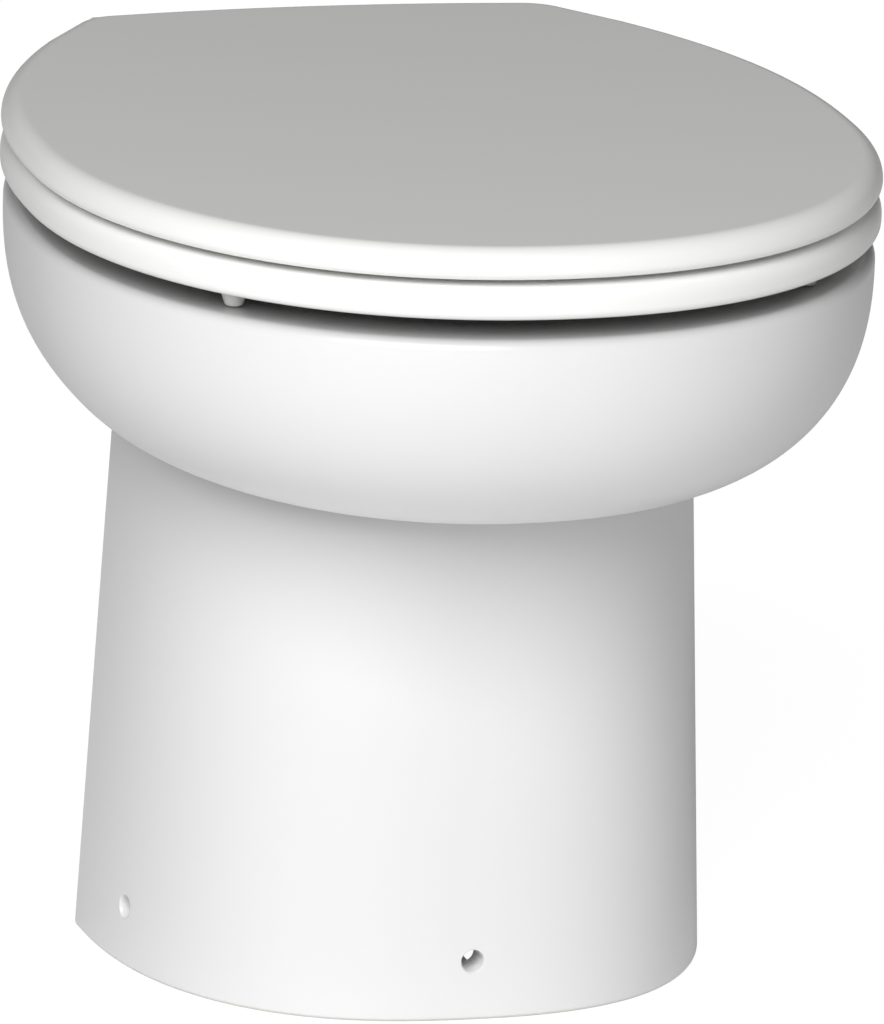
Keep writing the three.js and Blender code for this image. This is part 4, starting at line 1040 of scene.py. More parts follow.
@dataclass(frozen=True)
class Bowl:
    """China casting: dish, pedestal, deck, basin with its rinse channel, and outlet horn."""

    plan: RimPlan = RimPlan()
    rim_height: float = 333.5
    wall: float = 9.0
    land: float = 14.0
    rim_edge: float = 5.0
    rim_inset: float = 2.0
    dish_depth: float = 99.8
    dish_insets: Triple = (99.2, 65.2, 94.4)  # at its bottom: sides, back and front
    dish_power: float = 2.4
    foot_half_width: float = 135.5
    neck_half_width: float = 125.0
    foot_front: float = 88.0
    neck_front: float = 80.5
    pedestal_back: float = 80.0
    pedestal_power: float = 2.45
    pedestal_wall: float = 11.0
    pedestal_steps: int = 120
    foot_round: float = 2.5
    edge_round: float = 3.5
    hole_radius: float = 4.8
    hole_height: float = 26.5
    side_hole_y: float = 16.0
    deck_thickness: float = 15.0
    deck_back: float = 261.0
    deck_half_width: float = 104.0
    deck_root: float = 187.0
    deck_flare: float = 6.0
    deck_corner: float = 28.6
    deck_edge: float = 4.0
    hinge_x: float = 75.0
    hinge_y: float = 247.0
    deck_hole: float = 7.0
    mouth: Egg = Egg(120.0, 148.0, 126.0)
    mouth_edge: float = 6.0
    lip: float = 8.0
    lip_depth: float = 38.0
    channel_width: float = 12.0
    channel_height: float = 20.0
    channel_round: float = 2.5
    outlet_y: float = 34.0
    outlet_radius: float = 26.0
    horn_radius: float = 38.0
    horn_lip: float = 45.0
    horn_lip_thickness: float = 8.0
    horn_bottom: float = 160.0
    horn_round: float = 1.5
    throat_depth: float = 114.1
    inlet_radius: float = 9.0
    boss_radius: float = 17.0
    inlet_drop: float = 30.0
    inlet_start: float = -6.0  # from the channel's outer wall, inside it where below 0
    boss_start: float = 4.5  # from the same wall
    basin_keys: tuple[tuple[float, float, float, float], ...] = (  # depth, half width, front and back
        (35.0, 140.0, 168.0, 146.0), (55.5, 128.0, 146.0, 139.0), (79.0, 104.0, 108.0, 122.0),
        (98.5, 79.0, 66.0, 105.0), (114.1, 60.0, 32.0, 92.0), (129.8, 43.0, 8.5, 77.0),
        (143.5, 33.0, -1.0, 67.0),
    )

    @property
    def dish_bottom(self) -> float:
        """Height of the dish's flat bottom."""
        return self.rim_height - self.dish_depth

    @property
    def sump_depth(self) -> float:
        """Depth of the basin's lowest ring under the rim."""
        return self.basin_keys[-1][0]

    def outline(self, z: float, side: float, back: float, front: float) -> Loop:
        """Returns the china's outline, that stands in from the seat's at the sides and front."""
        return self.plan.loop(z, self.rim_inset + side, back, self.rim_inset + front)

    def dish(self, wall: float, steps: int) -> list[Loop]:
        """Shapes the dish from its bottom to its upright side.

        Args:
            wall: How far inside the outer skin the rings lie.
            steps: Rings on the curve.

        Returns:
            Its rings.
        """
        rings = []
        for step in range(steps + 1):
            across, fall = bulge(QUARTER * (1 - step / steps), self.dish_power)
            z = self.rim_height - self.rim_edge - (self.dish_depth - self.rim_edge - wall) * fall
            rings.append(self.outline(z, *(wall + (1 - across) * inset for inset in self.dish_insets)))
        return rings

    def dish_outside(self) -> Body:
        """Shapes the dish's outer skin with its rounded rim.

        Returns:
            The closed skin.
        """
        edge = rounds(self.rim_edge, 10)[1:]
        rim = [self.outline(self.rim_height - drop, inset, inset, inset) for inset, drop in edge]
        return loft([*self.dish(0.0, 40), *rim])

    def dish_inside(self) -> Body:
        """Returns the hollow between the dish and the basin."""
        top = self.outline(self.rim_height - self.land, self.wall, self.wall, self.wall)
        return loft([*self.dish(self.wall, 20)[:-1], top])

    def pedestal_size(self, z: float, wall: float) -> Pair:
        """Measures the pedestal at one height.

        Args:
            z: Height over the floor.
            wall: How far inside the outer skin.

        Returns:
            Its half width and its reach to the front.
        """
        share = z / self.dish_bottom
        half = self.foot_half_width + (self.neck_half_width - self.foot_half_width) * share
        front = self.foot_front + (self.neck_front - self.foot_front) * share
        return half - wall, front - wall

    def pedestal_ring(self, z: float, wall: float, tail: float) -> Loop:
        """Draws the pedestal's plan: a round front that ends square at the back.

        Args:
            z: Height over the floor.
            wall: How far inside the outer skin.
            tail: Round of the back corners, outwards where it is less than 0.

        Returns:
            The ring.
        """
        half, front = self.pedestal_size(z, wall)
        back, straight = self.pedestal_back, abs(tail) + 0.5
        points = []
        for step in range(self.pedestal_steps + 1):
            across, along = bulge(math.pi * step / self.pedestal_steps, self.pedestal_power)
            points.append((-half * across, min(back - (front + back) * along, back - straight)))
        corner = [(half - math.copysign(inset, tail), back - drop) for inset, drop in rounds(abs(tail), 15)]
        if tail < 0:
            corner.append((corner[-1][0], back + OVER))
        return [at(x, y, z) for x, y in [*points, *corner, *((-x, y) for x, y in reversed(corner))]]

    def pedestal_outside(self) -> Body:
        """Shapes the pedestal's outer body with its softened foot and back edges.

        Returns:
            The solid body.
        """
        foot = [(drop, inset) for inset, drop in reversed(rounds(self.foot_round, 15))]
        rise = self.dish_bottom + self.wall - self.foot_round
        sides = [(self.foot_round + rise * step / 24, 0.0) for step in range(1, 25)]
        return loft([self.pedestal_ring(z, inset, self.edge_round) for z, inset in [*foot, *sides]])

    def pedestal_inside(self) -> Body:
        """Shapes the hollow of the pedestal, open below and at the back.

        Returns:
            The tool that cuts it.
        """
        rise = self.dish_bottom + self.wall + 2 * OVER
        heights = [-OVER + rise * step / 12 for step in range(13)]
        return loft([self.pedestal_ring(z, self.pedestal_wall, -self.edge_round) for z in heights])

    def deck(self) -> Body:
        """Shapes the flat deck that carries the hinges.

        Returns:
            The deck.
        """
        half, root = self.deck_half_width, self.deck_root
        flared = half + self.deck_flare
        outline = [(flared, root), (half, self.deck_back), (-half, self.deck_back), (-flared, root)]
        low, edge = self.rim_height - self.deck_thickness, rounds(self.deck_edge, 15)
        levels = [(low + drop, inset) for inset, drop in reversed(edge)]
        levels += [(self.rim_height - drop, inset) for inset, drop in edge]
        rings = []
        for z, inset in levels:
            shrunk = [(x - math.copysign(inset, x), y - (inset if y > root else 0)) for x, y in outline]
            rings.append([at(x, y, z) for x, y in rounded(shrunk, self.deck_corner, 14)])
        return loft(rings)

    def basin_ring(self, depth: float, grow: float) -> Loop:
        """Draws one ring of the basin's smooth slope.

        Args:
            depth: Depth under the rim.
            grow: How far outside the inner surface.

        Returns:
            The ring.
        """
        keys = self.basin_keys
        last = len(keys) - 1
        index = max(i for i in range(last) if keys[i][0] <= depth + 1e-6)
        before, start, end, after = (keys[min(max(index + step, 0), last)] for step in (-1, 0, 1, 2))
        t = (depth - start[0]) / (end[0] - start[0])
        sizes = []
        for a, b, c, d in list(zip(before, start, end, after))[1:]:
            sizes.append(b + 0.5 * t * (c - a + t * (2 * a - 5 * b + 4 * c - d + t * (3 * (b - c) + d - a))))
        middle = self.outlet_y * min(depth / self.sump_depth, 1.0)
        return Egg(*sizes, middle).grown(grow).loop(self.rim_height - depth - grow)

    def basin(self, grow: float) -> Body:
        """Shapes the basin from the sump up to the rinse channel.

        Args:
            grow: How far outside the inner surface.

        Returns:
            The closed skin.
        """
        top = self.basin_keys[0][0]
        depths = [top + (self.sump_depth - top) * step / 40 for step in range(41)]
        return loft([self.basin_ring(depth, grow) for depth in reversed(depths)])

    def mouth_cut(self) -> Body:
        """Returns the opening through the rim, with its rounded edge."""
        levels = [(0.0, self.lip_depth + 0.5), *rounds(self.mouth_edge, 15), (self.mouth_edge, -OVER)]
        return loft([self.mouth.grown(inset).loop(self.rim_height - drop) for inset, drop in levels])

    def channel(self) -> Body:
        """Shapes the rinse water's channel round the inside of the rim.

        Returns:
            The tool that cuts it.
        """
        inner, low = self.lip, self.lip_depth
        outer, top = inner + self.channel_width, low - self.channel_height
        corners = [(inner, low), (outer, low), (outer, top), (inner, top)]
        section = rounded(corners, self.channel_round, 3, True)
        return loft([self.mouth.grown(grow).loop(self.rim_height - depth) for grow, depth in section], True)

    def horn(self) -> Body:
        """Shapes the outlet horn with its lip.

        Returns:
            The horn, still solid.
        """
        low, neck = self.horn_bottom, self.horn_bottom + self.horn_lip_thickness
        outline = [
            (self.horn_lip, low), (self.horn_lip, neck), (self.horn_radius, neck),
            (self.horn_radius, self.rim_height - self.sump_depth),
        ]
        return upright(0, self.outlet_y).solid(outline, self.horn_round)

    def fixing_places(self) -> list[tuple[str, float, float, float]]:
        """Finds where the three fixing holes go through the wall.

        Returns:
            Each hole's name, place and direction square to the wall.
        """
        half, front = self.pedestal_size(self.hole_height, 0.0)
        power, behind = self.pedestal_power, self.pedestal_back - self.side_hole_y
        reach = self.pedestal_back + front
        side_x = half * (1 - (behind / reach) ** power) ** (1 / power)
        turn = math.atan((half / reach) ** power * (behind / side_x) ** (power - 1))
        return [
            ("front", 0.0, -front, -QUARTER),
            ("right", side_x, self.side_hole_y, -turn),
            ("left", -side_x, self.side_hole_y, math.pi + turn),
        ]

    def fixing_hole(self, x: float, y: float, turn: float) -> Body:
        """Shapes the tool for one fixing hole, flared a little at the wall's face.

        Args:
            x: Place to the right.
            y: Place to the back.
            turn: Direction out of the wall in radians.

        Returns:
            The tool.
        """
        radius, deep = self.hole_radius, -self.pedestal_wall - OVER
        flare = [(radius, -1.2), (radius + 0.25, -0.5), (radius + 0.9, 0.25), (radius + 0.9, OVER)]
        tool = Line(Vector((0, 0, 0)), Axis.X).solid([(radius, deep), *flare], steps=48)
        return moved(tool, Matrix.Translation(at(x, y, self.hole_height)) @ Matrix.Rotation(turn, 4, "Z"))

    def build(self) -> None:
        """Builds the casting."""
        rim, rim_back = self.rim_height, self.plan.back + self.plan.back_bow
        inlet_line = along_y(0, rim - self.inlet_drop)
        start = self.mouth.back + self.lip + self.channel_width
        inlet = inlet_line.rod(self.inlet_radius, start + self.inlet_start, rim_back + OVER, steps=40)
        boss = inlet_line.rod(self.boss_radius, start + self.boss_start, rim_back, soft=0.8, steps=48)
        under = rim - self.deck_thickness - OVER
        hinge_lines = [upright(side * self.hinge_x, self.hinge_y) for side in (-1, 1)]
        holes = [line.rod(self.deck_hole, under, rim + OVER, steps=40) for line in hinge_lines]
        fixings = [self.fixing_hole(x, y, turn) for _, x, y, turn in self.fixing_places()]
        outlet = upright(0, self.outlet_y).rod(
            self.outlet_radius, self.horn_bottom - OVER, rim - self.throat_depth, steps=72
        )
        body = worked(
            self.dish_outside(),
            (Cut.JOIN, self.pedestal_outside()),
            (Cut.JOIN, self.deck()),
            (Cut.TAKE, joined(self.dish_inside(), self.pedestal_inside())),
            (Cut.JOIN, self.basin(self.wall)),
            (Cut.JOIN, self.horn()),
            (Cut.JOIN, boss),
            (Cut.TAKE, self.mouth_cut()),
            (Cut.TAKE, self.channel()),
            (Cut.TAKE, self.basin(0.0)),
            (Cut.TAKE, outlet),
            (Cut.TAKE, gathered(inlet, *holes, *fixings)),
        )
        show(body, "glazed_bowl", CHINA, "china_bowl")


# --- Seat and lid ---------------------------------------------------------------------------


@dataclass(frozen=True)
class Seating:
    """Seat ring and lid, with their bumpers and the knuckles they turn on."""

    plan: RimPlan = RimPlan()
    rim_height: float = 333.5
    seat_bottom: float = 342.5
    seat_top: float = 357.0
    lid_bottom: float = 360.0
    lid_top: float = 373.5
    lid_edge: float = 8.7
    lid_edge_drop: float = 9.5
    under_edge: float = 4.0
    seat_edge: float = 8.0
    aperture: Egg = Egg(112.0, 140.0, 118.0)
    aperture_edge: float = 5.0
    aperture_under: float = 1.5
    hinge_y: float = 247.0
    hinge_z: float = 358.5
    barrel: float = 7.5
    pin: float = 3.1
    arm_root: float = 218.0
    arm_inset: float = 3.0
    arm_share: float = 0.8
    arm_soft: float = 1.2
    seat_knuckle: Pair = (84.0, 96.0)
    lid_knuckle: Pair = (54.0, 66.0)
    bumper_radius: float = 6.5
    bumper_tip: float = 3.8
    bumper_soft: float = 1.1
    stem_radius: float = 3.0
    stem_length: float = 6.0
    seat_bumpers: Places = (
        ("front_left", -126.0, -126.0), ("front_right", 126.0, -126.0),
        ("rear_left", -128.0, 130.0), ("rear_right", 128.0, 130.0),
    )
    lid_bumpers: Places = (("left", -112.0, -118.0), ("right", 112.0, -118.0))

    @property
    def hinge_line(self) -> Line:
        """The middle line of the pins."""
        return along_x(self.hinge_y, self.hinge_z)

    def knuckle(self, place: Pair, side: int, bottom: float, top: float) -> Body:
        """Builds one knuckle: an arm from the panel's back edge to a barrel round the pin.

        Args:
            place: Inner and outer end along the hinge line.
            side: 1 for the right, -1 for the left.
            bottom: The panel's underside.
            top: The panel's top.

        Returns:
            The knuckle.
        """
        x0, x1 = mirrored(side, place)
        reach, half = self.hinge_y - self.barrel / 2, self.barrel * self.arm_share
        outline = [
            (self.arm_root, bottom + self.arm_inset), (reach, self.hinge_z - half),
            (reach, self.hinge_z + half), (self.arm_root, top - self.arm_inset),
        ]
        arm = plate([at(x0, y, z) for y, z in outline], local(x1 - x0, 0, 0), self.arm_soft)
        return joined(arm, self.hinge_line.rod(self.barrel, x0, x1, soft=1.0, steps=48))

    def panel(self, bottom: float, top: float, edge: Sequence[Point]) -> list[Loop]:
        """Draws a panel's outside.

        Args:
            bottom: Its underside.
            top: Its top.
            edge: Insets and drops of its upper edge.

        Returns:
            Its rings.
        """
        under = reversed(rounds(self.under_edge, 15))
        rings = [self.plan.loop(bottom + drop, inset) for inset, drop in under]
        return rings + [self.plan.loop(top - drop, inset) for inset, drop in edge]

    def fitted(self, panel: Body, place: Pair, bottom: float, top: float, bumpers: Places) -> Body:
        """Adds both knuckles to a panel, and bores it for the pins and the bumpers' stems.

        Args:
            panel: The seat's or lid's panel.
            place: The knuckles' inner and outer ends.
            bottom: The panel's underside.
            top: The panel's top.
            bumpers: Name and place of each bumper.

        Returns:
            The fitted panel.
        """
        body = joined(panel, *(self.knuckle(place, side, bottom, top) for side in (-1, 1)))
        tools = []
        for side in (-1, 1):
            x0, x1 = mirrored(side, place)
            tools.append(self.hinge_line.rod(self.pin, x0 - PIN_OVER, x1 + PIN_OVER, steps=32))
        socket, end = self.stem_radius + GAP, bottom + self.stem_length + 2 * GAP
        tools += [upright(x, y).rod(socket, bottom - OVER, end, steps=24) for _, x, y in bumpers]
        return taken(body, gathered(*tools))

    def seat(self) -> None:
        """Builds the seat ring."""
        bottom, top = self.seat_bottom, self.seat_top
        under, edge = self.aperture_under, self.aperture_edge
        levels = [(under, bottom - OVER)]
        levels += [(inset, bottom + drop) for inset, drop in reversed(rounds(under, 30))]
        levels += [(inset, top - drop) for inset, drop in rounds(edge, 9)]
        levels.append((edge, top + OVER))
        hole = loft([self.aperture.grown(inset).loop(z) for inset, z in levels])
        panel = taken(loft(self.panel(bottom, top, rounds(self.seat_edge, 9))), hole)
        body = self.fitted(panel, self.seat_knuckle, bottom, top, self.seat_bumpers)
        show(body, "moulded_seat", SEAT_PLASTIC, "seat", rides="seat")

    def lid(self) -> None:
        """Builds the lid."""
        bottom, top = self.lid_bottom, self.lid_top
        edge = [*rounds(self.lid_edge, 6, self.lid_edge_drop), (self.lid_edge + 1.0, 0.0)]
        panel = loft(self.panel(bottom, top, edge))
        body = self.fitted(panel, self.lid_knuckle, bottom, top, self.lid_bumpers)
        show(body, "moulded_lid", SEAT_PLASTIC, "lid", rides="lid")

    def bumpers(self) -> None:
        """Builds every bumper: a soft foot and the stem that holds it."""
        sets = (
            ("seat", self.seat_bumpers, self.rim_height + GAP, self.seat_bottom),
            ("lid", self.lid_bumpers, self.seat_top + GAP, self.lid_bottom),
        )
        for panel, places, low, high in sets:
            stem, top, end = self.stem_radius, high - GAP, high + self.stem_length
            outline = [(self.bumper_tip, low), (self.bumper_radius, top), (stem, top), (stem, end)]
            for name, x, y in places:
                body = upright(x, y).solid(outline, self.bumper_soft, 4, 40)
                show(body, f"{panel}_pad_{name}", BUMPER_RUBBER, f"{panel}_bumper_{name}", rides=panel)

    def build(self) -> None:
        """Builds seat, lid and bumpers."""
        self.seat()
        self.lid()
        self.bumpers()


@dataclass(frozen=True)
class Hinges:
    """Posts on the deck, their pins, bolts, washers and wing nuts."""

    x: float = 75.0
    y: float = 247.0
    z: float = 358.5
    deck_top: float = 333.5
    deck_bottom: float = 318.5
    post_width: float = 16.0
    post_depth: float = 13.0
    base_radius: float = 11.5
    base_thickness: float = 3.0
    barrel: float = 7.5
    pin: float = 3.0
    pin_reach: Pair = (54.5, 95.5)
    thread: Thread = Thread(4.0, 0.45, 1.25, 1.0)
    bolt_length: float = 58.0
    bolt_top: float = 353.4
    bolt_sharp: float = 50.0
    washer: float = 13.0
    washer_thickness: float = 2.5
    nut: float = 8.0
    nut_height: float = 10.0
    wing_reach: float = 17.0
    wing_thickness: float = 4.0
    wing_height: float = 12.0
    wing_root: float = 0.62
    wing_edge: float = 4.5
    hub_edge: float = 3.0

    @property
    def pin_line(self) -> Line:
        """The middle line of the pins."""
        return along_x(self.y, self.z)

    def post(self, x: float) -> Body:
        """Builds one post with its barrel, bored for the pin and the bolt.

        Args:
            x: Its place along the hinge line.

        Returns:
            The post.
        """
        low, half, depth = self.deck_top + GAP, self.post_width / 2, self.post_depth / 2
        line, radius = upright(x, self.y), self.base_radius
        base = line.solid([(radius, low), (radius, low + self.base_thickness)], 1.2, 4, 56)
        column = block(at(x - half, self.y - depth, low + 0.5), at(x + half, self.y + depth, self.z), 1.4)
        barrel = self.pin_line.rod(self.barrel, x - half, x + half, soft=0.8, steps=48)
        bore = self.pin_line.rod(self.pin + 0.1, x - half - OVER, x + half + OVER, steps=32)
        insert = line.rod(self.thread.radius + GAP, low - OVER, self.bolt_top + GAP, steps=32)
        return taken(joined(base, column, barrel), bore, insert)

    def wing_nut(self, x: float) -> Body:
        """Builds one wing nut.

        Args:
            x: Its place along the hinge line.

        Returns:
            The nut.
        """
        line, nut, reach = upright(x, self.y), self.nut, self.wing_reach
        top = self.deck_bottom - GAP - self.washer_thickness - GAP
        low, shoulder = top - self.nut_height, top - self.hub_edge
        hub = line.solid([(nut - 1.5, low), (nut, shoulder), (nut, top)], 1.0, 3, 48)
        thin, tip = self.wing_thickness / 2, top - self.wing_height
        right = [
            (nut * 0.5, low + 1), (reach * self.wing_root, tip), (reach, tip), (reach, top - self.wing_edge),
            (nut, shoulder),
        ]
        left = [(-across, z) for across, z in reversed(right)]
        outline = rounded([*left[2:], *right, *left[:2]], 2.0, 3, True)
        blades = plate([at(x + across, self.y - thin, z) for across, z in outline], local(0, 2 * thin, 0))
        bore = line.rod(self.thread.radius + GAP, tip - OVER, top + OVER, steps=32)
        return taken(joined(hub, blades), bore)

    def build(self) -> None:
        """Builds both hinges."""
        top = self.deck_bottom - GAP
        for name, side in (("left", -1), ("right", 1)):
            x = side * self.x
            line = upright(x, self.y)
            show(self.post(x), f"moulded_post_{name}", SEAT_PLASTIC, f"hinge_post_{name}")
            pin = self.pin_line.rod(self.pin, *mirrored(side, self.pin_reach), soft=0.5, steps=32)
            show(pin, f"turned_pin_{name}", STAINLESS, f"hinge_pin_{name}")
            tip = self.bolt_top - self.bolt_length
            bolt = self.thread.screw(line, tip, self.deck_bottom, self.bolt_top, 28)
            show(bolt, f"threaded_bolt_{name}", STAINLESS, f"hinge_bolt_{name}", sharp=self.bolt_sharp)
            bore = self.thread.radius + 0.4
            washer = line.ring(self.washer, bore, top - self.washer_thickness, top, soft=0.6)
            show(washer, f"soft_washer_{name}", BLACK_RUBBER, f"hinge_washer_{name}")
            show(self.wing_nut(x), f"moulded_wing_nut_{name}", NYLON, f"wing_nut_{name}")


# --- Floor brackets -------------------------------------------------------------------------


@dataclass(frozen=True)
class FloorBrackets:
    """Nylon angles that stand inside the pedestal behind the three fixing holes."""

    bowl: Bowl
    width: float = 36.0
    height: float = 42.0
    foot: float = 34.0
    thickness: float = 6.0
    soft: float = 3.0
    web: float = 4.0
    screw_radius: float = 2.6
    screw_spacing: float = 18.0
    sink_radius: float = 4.8
    sink_depth: float = 1.5

    def angle(self) -> Body:
        """Builds one angle along +X at the origin, with webs between its two legs.

        Returns:
            The angle, not yet bored.
        """
        face, half = -self.bowl.pedestal_wall, self.width / 2
        inner, end = face - self.thickness, face - self.foot
        corners = [
            (end, 0.0), (0.0, 0.0), (0.0, self.height), (inner, self.height), (inner, self.thickness),
            (end, self.thickness),
        ]
        outline = rounded(corners, self.soft, 4, True)
        legs = plate([local(x, -half, z) for x, z in outline], local(0, self.width, 0))
        section = [(inner + 1, 2.0), (inner + 1, self.height - 4), (end + 4, self.thickness), (end + 4, 2.0)]
        webs = []
        for side in (-half, -self.web / 2, half - self.web):
            webs.append(plate([local(x, side, z) for x, z in section], local(0, self.web, 0)))
        return joined(legs, gathered(*webs))

    def bracket(self, x: float, y: float, turn: float) -> Body:
        """Builds one bracket at its fixing hole, trimmed to the pedestal's inside.

        Args:
            x: Place of the hole to the right.
            y: Place of the hole to the back.
            turn: Direction out of the wall in radians.

        Returns:
            The bracket.
        """
        bowl = self.bowl
        screw_x = -bowl.pedestal_wall - (self.foot + self.thickness) / 2
        tools = []
        for side in (-1, 1):
            line = Line(local(screw_x, side * self.screw_spacing / 2, 0))
            tools.append(line.rod(self.screw_radius, -OVER, self.thickness + OVER, steps=32))
            tools.append(line.rod(self.sink_radius, self.thickness - self.sink_depth, self.height, steps=32))
        pilot = Line(local(0, 0, bowl.hole_height), Axis.X)
        tools.append(pilot.rod(bowl.hole_radius, -bowl.pedestal_wall - self.width, OVER, steps=40))
        place = Matrix.Translation(at(x, y, 0)) @ Matrix.Rotation(turn, 4, "Z")
        body = moved(taken(self.angle(), *tools), place)
        heights = (0.0, self.height + OVER)
        room = loft([bowl.pedestal_ring(z, bowl.pedestal_wall + GAP, bowl.edge_round) for z in heights])
        return worked(body, (Cut.KEEP, room))

    def build(self) -> None:
        """Builds the three brackets."""
        for name, x, y, turn in self.bowl.fixing_places():
            show(self.bracket(x, y, turn), f"moulded_bracket_{name}", NYLON, f"floor_bracket_{name}")


# --- Pump -----------------------------------------------------------------------------------


@dataclass(frozen=True)
class Pump:
    """Macerator housing under the bowl's outlet, with its seal, clamp ring, bolts and cap."""

    shaft_z: float = 98.0
    outlet_y: float = 34.0
    outlet_radius: float = 26.0
    lip_radius: float = 45.0
    seal: Pair = (156.3, 159.7)
    clamp: Pair = (168.3, 174.3)
    clamp_bore: float = 38.4
    clamp_split: float = 3.0
    flange_radius: float = 58.0
    flange: Pair = (148.0, 156.0)
    bolt_circle: float = 51.5
    thread: Thread = Thread(3.0, 0.4, 1.0, 0.7)
    bolt_head: float = 5.5
    bolt_head_height: float = 4.0
    bolt_end: float = 142.0
    bolt_sharp: float = 50.0
    chamber_radius: float = 46.0
    chamber_bore: float = 40.0
    chamber: Pair = (2.0, 66.0)
    chamber_floor: float = 58.0
    face_radius: float = 48.0
    face_back: float = 9.0
    gland_bore: float = 12.0
    neck_radius: float = 31.0
    rib_count: int = 12
    rib: float = 3.0
    pipe_radius: float = 19.0
    pipe_bore: float = 15.0
    pipe_x: float = 100.0
    pipe_z: float = 70.0
    branch_y: float = 47.0
    bend: float = 24.0
    branch_end: float = 91.0
    collar: float = 25.0
    collar_start: float = 82.0
    cap: Pair = (-4.3, 1.7)
    cap_spigot: float = 9.7
    cap_dish: tuple[Point, Point] = ((26.0, 0.8), (28.0, 0.0))
    cap_flutes: int = 28
    flute: float = 1.9
    groove: Triple = (4.0, 7.0, 37.0)  # where it starts and ends, and its floor's radius
    grip: Triple = (35.0, 5.0, -16.3)  # half width, half thickness and tip
    grip_taper: float = 0.93

    @property
    def down(self) -> Line:
        """The middle line of the bowl's outlet."""
        return upright(0, self.outlet_y)

    @property
    def shaft(self) -> Line:
        """The middle line of the shaft."""
        return along_y(0, self.shaft_z)

    def bolt_lines(self) -> list[Line]:
        """Finds the four clamp bolts.

        Returns:
            Their middle lines.
        """
        turns = [TURN * (index + 0.5) / 4 for index in range(4)]
        circle = self.bolt_circle
        return [upright(circle * math.cos(t), self.outlet_y + circle * math.sin(t)) for t in turns]

    def bolt_holes(self, span: Pair) -> Body:
        """Shapes the clamp bolts' holes.

        Args:
            span: Bottom and top of what they go through.

        Returns:
            The tools that cut them.
        """
        low, high = span
        radius = self.thread.radius + 0.4
        return gathered(*(line.rod(radius, low - OVER, high + OVER, steps=28) for line in self.bolt_lines()))

    def branch(self, radius: float, over: float) -> Body:
        """Draws the side branch: out of the chamber, then round to the back.

        Args:
            radius: Radius of the bar.
            over: Extra length at both ends.

        Returns:
            The bar.
        """
        bend, z = self.bend, self.pipe_z
        turn_x, turn_y = self.pipe_x - bend, self.branch_y + bend
        path = [at(self.chamber_radius / 2 - over, self.branch_y, z)]
        for step in range(13):
            turn = QUARTER * step / 12
            path.append(at(turn_x + bend * math.sin(turn), turn_y - bend * math.cos(turn), z))
        path.append(at(self.pipe_x, self.branch_end + over, z))
        return tube(path, radius, 48)

    def housing(self) -> None:
        """Builds the pump's housing."""
        front, back = self.chamber
        face, wide = self.face_radius, self.chamber_radius
        outline = [
            (face, front), (face, self.face_back), (wide, self.face_back + 2.0), (wide, back - 3.0),
            (wide - 4.0, back),
        ]
        shell = self.shaft.solid(outline, 1.6, 4, 96)
        low, high = self.flange
        slim = self.neck_radius
        outline = [
            (slim, self.shaft_z), (slim, low - 3.0), (slim + 3.0, low), (self.flange_radius, low),
            (self.flange_radius, high),
        ]
        neck = self.down.solid(outline, 1.4, 4, 96)
        pipe = along_y(self.pipe_x, self.pipe_z)
        collar = pipe.rod(self.collar, self.collar_start, self.branch_end, soft=1.0)
        rib_low = local(-self.rib / 2, self.face_back - 2, wide - 3)
        rib_high = local(self.rib / 2, back - 5, face - 0.6)
        ribs = self.shaft.spokes(self.rib_count, 0.0, rib_low, rib_high, 0.6)
        body = taken(
            joined(shell, neck, self.branch(self.pipe_radius, 0.0), collar, ribs),
            self.shaft.rod(self.chamber_bore, front - OVER, self.chamber_floor, steps=96),
            self.down.rod(self.outlet_radius, self.shaft_z, high + OVER, steps=72),
            self.branch(self.pipe_bore, OVER),
            self.shaft.rod(self.gland_bore, self.chamber_floor - OVER, back + OVER, steps=48),
            self.bolt_holes(self.flange),
        )
        show(body, "moulded_pump_housing", BLACK_PLASTIC, "macerator_housing")

    def inspection_cap(self) -> None:
        """Builds the screw-in cap with its fluted edge and grip bar."""
        front, back = self.cap
        start, end, floor = self.groove
        spigot, face = self.chamber_bore - 0.4, self.face_radius
        outline = [(radius, front + rise) for radius, rise in self.cap_dish] + [
            (face, front), (face, back), (spigot, back), (spigot, start), (floor, start), (floor, end),
            (spigot, end), (spigot, self.cap_spigot),
        ]
        disc = self.shaft.solid(outline, 0.9, 3, 112)
        half, thin, tip = self.grip
        taper = half * self.grip_taper
        outline = rounded([(-half, front + 3), (half, front + 3), (taper, tip), (-taper, tip)], 6.0, 5, True)
        grip = plate([at(x, y, self.shaft_z - thin) for x, y in outline], local(0, 0, 2 * thin), 1.2)
        span = (front - OVER, back - 1.4)
        flutes = self.shaft.flutes(self.cap_flutes, face + 1.0, self.flute, span, soft=0.0, steps=16)
        show(taken(joined(disc, grip), flutes), "moulded_inspection_cap", GREY_PLASTIC, "inspection_cap")

    def clamp_half(self, name: str, side: int) -> None:
        """Builds one half of the clamp ring.

        Args:
            name: left or right.
            side: 1 for the right, -1 for the left.
        """
        low, high = self.clamp
        whole = self.down.ring(self.flange_radius, self.clamp_bore, low, high, soft=0.8, steps=96)
        far = self.flange_radius + OVER
        x0, x1 = mirrored(side, (-far, self.clamp_split / 2))
        away = block(at(x0, self.outlet_y - far, low - OVER), at(x1, self.outlet_y + far, high + OVER))
        body = taken(whole, away, self.bolt_holes(self.clamp))
        show(body, f"pressed_clamp_{name}", STAINLESS, f"clamp_ring_{name}")

